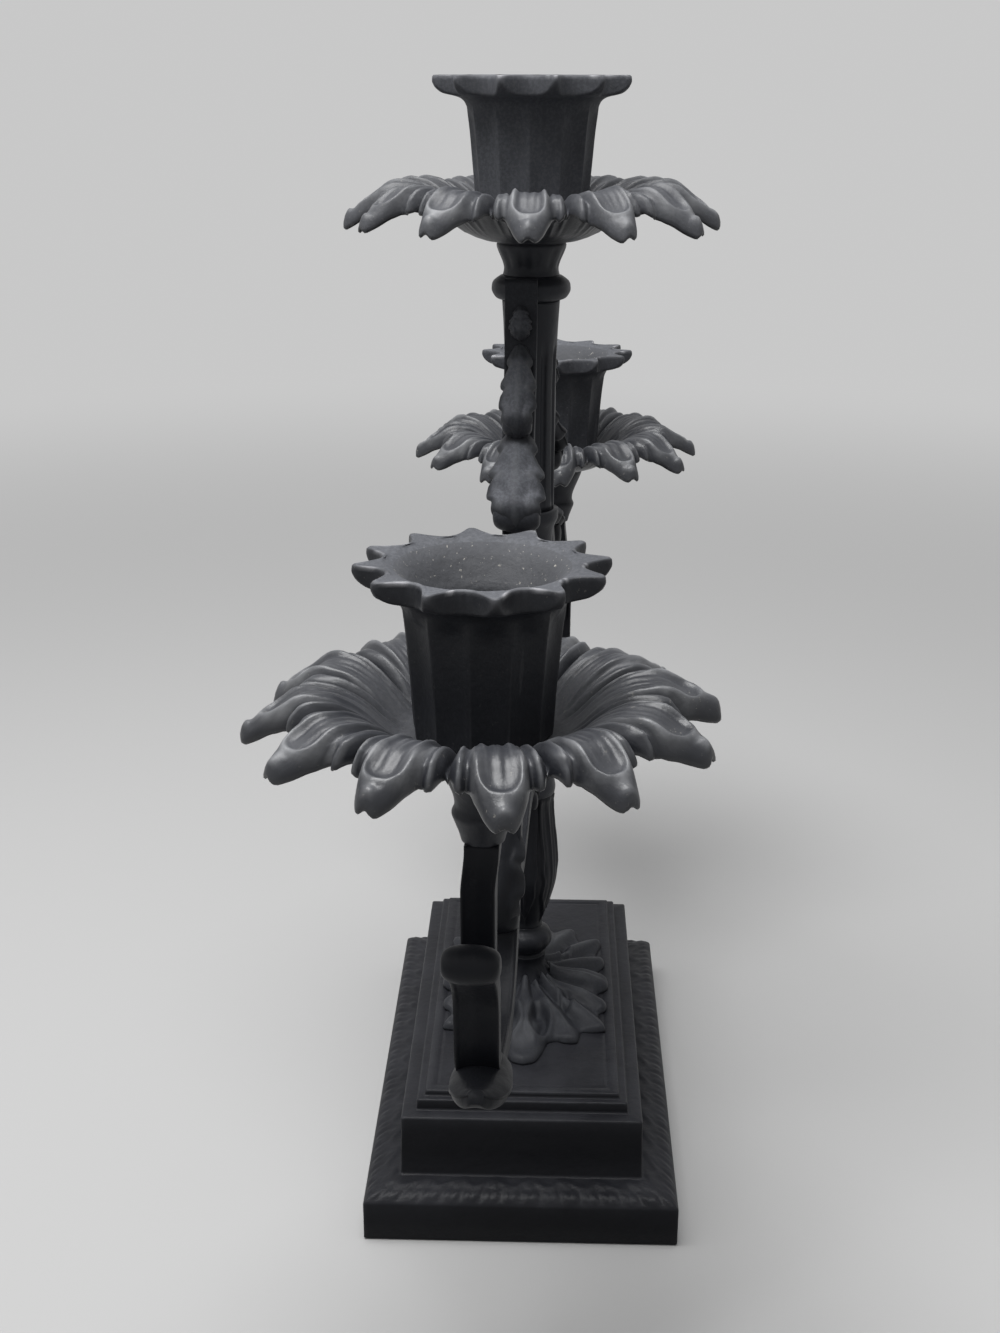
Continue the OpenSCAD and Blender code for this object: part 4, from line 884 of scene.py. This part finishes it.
# Rings as (half length, half width, z)
SLAB_SIDE = [(74.6, 42.8, 0), (SLAB_X, SLAB_Y, 0.5), (SLAB_X, SLAB_Y, 6), (SLAB_X, SLAB_Y, 11.3)]
BLOCK_SIDE = [(65.1, 33.4, 15.2), (64.9, 33.4, 22), (64.7, 33.3, 28), (64.6, 33.3, 31.8),
              (64.4, 33.1, 32.2), (64.0, 32.7, 32.4), (61.1, 29.8, 32.35), (60.6, 29.3, 32.4),
              (60.4, 29.2, 33), (60.4, 29.2, 35.0), (60.2, 29.0, 35.4), (59.8, 28.6, 35.5),
              (58.7, 27.5, 35.5), (58.3, 27.1, 35.6), (58.2, 27.0, 36.2), (58.1, 26.9, 36.9),
              (57.7, 26.5, PLINTH_Z), (55.6, 24.4, PLINTH_Z), (55.2, 24.0, 36.9),
              (54.8, 23.6, 36.9), (54.4, 23.2, PLINTH_Z), (54, 22.8, PLINTH_Z),
              (40, 16, PLINTH_Z)]
HOLLOW = [(60.5, 29.7, 31.5), (60.5, 29.7, 10.2), (60.6, 29.8, 9.8), (71, 39.2, 9.8),
          (71, 39.2, 0.3), (71.3, 39.5, 0)]
BOSS_COLUMNS = 64
# Rings as (radius, z), down through the top and round the boss under it
TOP_HOLE = [(16, PLINTH_Z), (ROD_HOLE_R, PLINTH_Z), (ROD_HOLE_R, 31.6), (8.8, 31.5)]
BOSS = [(ROD_HOLE_R, 13.2), (8.6, 13.2), (8.8, 13.5), (8.8, 31.6), (ROD_HOLE_R, 31.6)]


def plinth():
    """The hollow casting up its sides, over its top and down inside, and its boss."""
    rows = oblongs(SLAB_SIDE) + moulding() + oblongs(BLOCK_SIDE)
    around = np.arctan2(rows[-1][:, 1], rows[-1][:, 0])
    for r, z in TOP_HOLE:
        rows.append(np.stack([r * np.cos(around), r * np.sin(around),
                              np.full(len(around), z)], 1))
    rows += oblongs(HOLLOW)
    a = np.linspace(0, 2 * np.pi, BOSS_COLUMNS, endpoint=False)
    boss = np.array([np.stack([r * np.cos(a), r * np.sin(a), np.full(BOSS_COLUMNS, z)], 1)
                     for r, z in BOSS])
    piece("plinth", [(np.array(rows), True), (boss, True)], "plinth_black", "root", "plinth")


# ---------------------------------------------------------------- foot

FOOT_COLUMNS = 432
FOOT_ROWS = 46
FOOT_IN_R = 7.5
FOOT_REACH = 30  # columns either way that to_outline looks along
FOOT_DUST = 0.16
NECK_FOOT_R = 9.2
# Edge and ridges of a quarter of the spread, by degrees from its long axis
FOOT_EDGE = [(0, 45), (4, 43.8), (8, 39), (12, 34), (16, 33.5), (20, 35.4), (24.7, 36.6),
             (28, 34.5), (32, 32), (36, 33.6), (41.7, 35.6), (46, 32.5), (50, 28.8), (53.5, 28),
             (58, 28.6), (63, 27.8), (68, 25.4), (72, 23.2), (76, 22.8), (81, 24.4), (86, 25.5),
             (90, 25.6)]
FOOT_RIDGE = [(0, 0.95), (4, 0.9), (7, 0.6), (10.5, 0.2), (14, 0.35), (19, 0.75), (24, 1.0),
              (28, 0.6), (32, 0.15), (36, 0.6), (41, 1.0), (46, 0.55), (50, 0.1), (55, 0.55),
              (61, 0.95), (67, 0.5), (73, 0.08), (79, 0.6), (86, 0.95), (90, 0.9)]
# How full the relief is, by the share of the way out
FOOT_SWELL = [(0, 0.9), (0.15, 0.6), (0.35, 0.75), (0.6, 1.0), (0.8, 0.8), (0.93, 0.55),
              (1, 0.45)]
# Long eyes between the lobes: x, y, half length, half width, depth and brim
EYES = [(25.2, 4.3, 9.4, 3.7, 1.4, 1.3), (14.5, 12.4, 5.6, 2.6, 1.2, 0.3)]
FOOT_NECK = [(NECK_FOOT_R, 2.4), (8.4, 4.2), (7.0, 6.4), (6.2, 8.6), (5.9, 10.6), (6.2, 12.6)]


def foot():
    """Spread leaves in relief round a waisted neck, as two closed surfaces."""
    a = np.linspace(0, 2 * np.pi, FOOT_COLUMNS, endpoint=False)
    fold = np.abs((np.degrees(a) + 90) % 180 - 90)
    edge = spline(fold, FOOT_EDGE)
    ridge = spline(fold, FOOT_RIDGE)
    fine = np.cos(np.radians(fold * 360 / 6.2))
    rim = np.stack([edge * np.cos(a), edge * np.sin(a)], 1)
    rows = []
    for t in np.linspace(0, 1, FOOT_ROWS):
        r = FOOT_IN_R + t * (edge - FOOT_IN_R)
        x, y = r * np.cos(a), r * np.sin(a)
        near = to_outline(x, y, rim, FOOT_REACH)
        swell = spline(t, FOOT_SWELL)
        z = 0.7 + 3.3 * ridge * swell + 0.07 * fine * ramp(t, 0.2, 0.45) * ramp(t, 0.95, 0.7)
        # Each eye has a raised brim and a bead inside
        for ex, ey, long, wide, deep, brim in EYES:
            e = np.hypot((np.abs(x) - ex) / long, (np.abs(y) - ey) / wide)
            z = z + brim * (bump(e, 1, 0.24) + 0.9 * bump(e, 0, 0.28)) \
                - deep * ramp(e, 0.85, 0.5)
        z = z + 4.6 * bump(r, FOOT_IN_R - 2, 12) * (0.78 + 0.22 * np.cos(8 * a))
        edge_at = np.clip(1 - near / 1.6, 0, 1)
        z -= (0.5 + 0.45 * z) * (1 - np.sqrt(1 - edge_at ** 2))
        # The marks: dust, and painted highlight along the ridges
        rows.append(np.stack([x, y, PLINTH_Z + np.clip(z, 0.25, 8), 0 * x + FOOT_DUST,
                              0.3 * ramp(ridge * swell, 0.5, 0.9)], 1))
    edge_ring = rows[-1].copy()
    edge_ring[:, 2] = PLINTH_Z

    def flat_ring(r, z):
        return np.stack([r * np.cos(a), r * np.sin(a), np.full(FOOT_COLUMNS, z), 0 * a, 0 * a],
                        1)

    leaves = [flat_ring(FOOT_IN_R, PLINTH_Z)] + rows + [edge_ring]
    neck = smooth(FOOT_NECK, 5)
    necks = [flat_ring(r * (1 - 0.05 * (0.5 + 0.5 * np.cos(8 * a)) * ramp(z, 11, 7)), PLINTH_Z + z)
             for r, z in neck[::-1]]
    cone = [flat_ring(ROD_HOLE_R, KNOB_Z)] + necks \
        + [flat_ring(r, PLINTH_Z) for r in (NECK_FOOT_R, ROD_HOLE_R)]
    piece("foot_leaves", [(np.array(leaves), True), (np.array(cone), True)], "ornament_black",
          "root", "foot_leaves")


# ---------------------------------------------------------------- the whole

# Axis, seat, half turn, turns of the pan and of the cup in degrees, seed, and
# the dust on the pan and on the cup; on the centre pan and cup the dust is also
# painted light, lighter at the top
SEATS = {
    "front": (FRONT_AXIS, OUTER_SEAT_Z, 0, 10, 11, 3, 0.0, 0.12),
    "centre": (CENTRE_AXIS, SEAT_Z, 0, 3, 16, 5, 0.45, 0.8),
    "rear": (REAR_AXIS, OUTER_SEAT_Z, math.pi, 5, 4, 8, 0.1, 0.5),
}
CUP_SEED = 20
for label, (axis, seat, half, pan_turn, cup_turn, seed, pan_dust_and_light, cup_dust_and_light) in SEATS.items():
    pan(label + "_pan", (*axis, seat), TURN + half + math.radians(pan_turn), seed, pan_dust_and_light)
    cup(label + "_cup", (*axis, seat + FLOOR_H), TURN + half + math.radians(cup_turn),
        CUP_SEED + seed, cup_dust_and_light)
arm("front_arm", 0)
arm("rear_arm", math.pi)
plinth()
foot()
stem()

# The CAD nodes that still show get the finish of their slots
for item in frame["record"]["subparts"]:
    shown = frame["nodes"][item["node"]]
    if not shown.hide_render:
        shown.data.materials.clear()
        shown.data.materials.append(MATS[item["material_slot"]])

# ---------------------------------------------------------------- stage, light, camera

FLOOR_HALF = 3
floor = bpy.data.meshes.new("floor")
floor.from_pydata([(x * FLOOR_HALF, y * FLOOR_HALF, 0)
                   for x, y in ((-1, -1), (1, -1), (1, 1), (-1, 1))], [], [(0, 1, 2, 3)])
floor_obj = bpy.data.objects.new("floor", floor)
bpy.context.scene.collection.objects.link(floor_obj)

# The backdrop shows pale to the camera and in reflections, with no more light
# on the object, and the floor fades into it away from the object.
PALE = (0.58, 0.58, 0.58)
FLOOR_LIT = (0.15, 0.15, 0.15)
FLOOR_SEEN = (0.47, 0.47, 0.47)
FADE = (0.3, 1.3)
SKY = (0.1, 0.5)  # low down and overhead
SKY_TOP = 0.9


def seen_direct(tree):
    """1 for camera, glossy and transmission rays."""
    path = node(tree, "ShaderNodeLightPath")
    seen = maths(tree, "MAXIMUM", path.outputs["Is Camera Ray"], path.outputs["Is Glossy Ray"])
    return maths(tree, "MAXIMUM", seen, path.outputs["Is Transmission Ray"])


pale = bpy.data.materials.new("pale_floor")
pale.use_nodes = True
tree = pale.node_tree
shader = tree.nodes["Principled BSDF"]
shader.inputs["Roughness"].default_value = 0.9
shader.inputs["Specular IOR Level"].default_value = 0.1
direct = seen_direct(tree)
tree.links.new(mix_colour(tree, direct, FLOOR_LIT, FLOOR_SEEN), shader.inputs["Base Color"])
glow = node(tree, "ShaderNodeEmission")
glow.inputs["Color"].default_value = (*PALE, 1)
place = node(tree, "ShaderNodeTexCoord").outputs["Object"]
length = node(tree, "ShaderNodeVectorMath", operation="LENGTH")
tree.links.new(place, length.inputs[0])
far = maths(tree, "MULTIPLY", spread(tree, length.outputs["Value"], *FADE), direct)
blend = node(tree, "ShaderNodeMixShader")
tree.links.new(far, blend.inputs[0])
tree.links.new(shader.outputs[0], blend.inputs[1])
tree.links.new(glow.outputs[0], blend.inputs[2])
tree.links.new(blend.outputs[0], tree.nodes["Material Output"].inputs["Surface"])
floor.materials.append(pale)

LAMP_AIM = Vector((0, 0, 0.15))


def lamp(name, place, size, energy):
    """A square lamp aimed at the object's middle."""
    light = bpy.data.lights.new(name, "AREA")
    light.size = size
    light.energy = energy
    obj = bpy.data.objects.new(name, light)
    obj.location = place
    obj.rotation_euler = (LAMP_AIM - Vector(place)).to_track_quat("-Z", "Y").to_euler()
    bpy.context.scene.collection.objects.link(obj)


lamp("overhead", (0.12, -0.15, 1.0), 0.6, 11)
lamp("side", (0.4, -1.3, 0.9), 1.0, 2)

world = bpy.data.worlds.new("studio")
bpy.context.scene.world = world
world.use_nodes = True
tree = world.node_tree
background = tree.nodes["Background"]
sky = node(tree, "ShaderNodeSeparateXYZ")
tree.links.new(node(tree, "ShaderNodeTexCoord").outputs["Generated"], sky.inputs[0])
dome = spread(tree, sky.outputs[2], 0.0, SKY_TOP, *SKY)
grey = node(tree, "ShaderNodeCombineColor")
for socket in grey.inputs[:3]:
    tree.links.new(dome, socket)
tree.links.new(mix_colour(tree, seen_direct(tree), grey.outputs[0], PALE),
               background.inputs["Color"])
background.inputs["Strength"].default_value = 1.0

# The camera that was fitted to the photo
EYE = (0.46094, 0.00548, 0.30506)
PITCH, YAW, ROLL = (math.radians(angle) for angle in (19.498, 1.691, 0.13))
camera = bpy.data.cameras.new("camera")
camera.sensor_fit = "VERTICAL"
camera.sensor_height = 36.0
camera.lens = 45.63
camera.dof.use_dof = False
camera_obj = bpy.data.objects.new("camera", camera)
bpy.context.scene.collection.objects.link(camera_obj)
forward = Vector((-math.cos(YAW) * math.cos(PITCH), -math.sin(YAW) * math.cos(PITCH),
                  -math.sin(PITCH)))
camera_obj.location = EYE
turn_to = forward.to_track_quat("-Z", "Y").to_matrix()
camera_obj.rotation_euler = (turn_to @ Matrix.Rotation(ROLL, 3, "Z")).to_euler()
bpy.context.scene.camera = camera_obj
bpy.context.scene.view_settings.view_transform = "Standard"
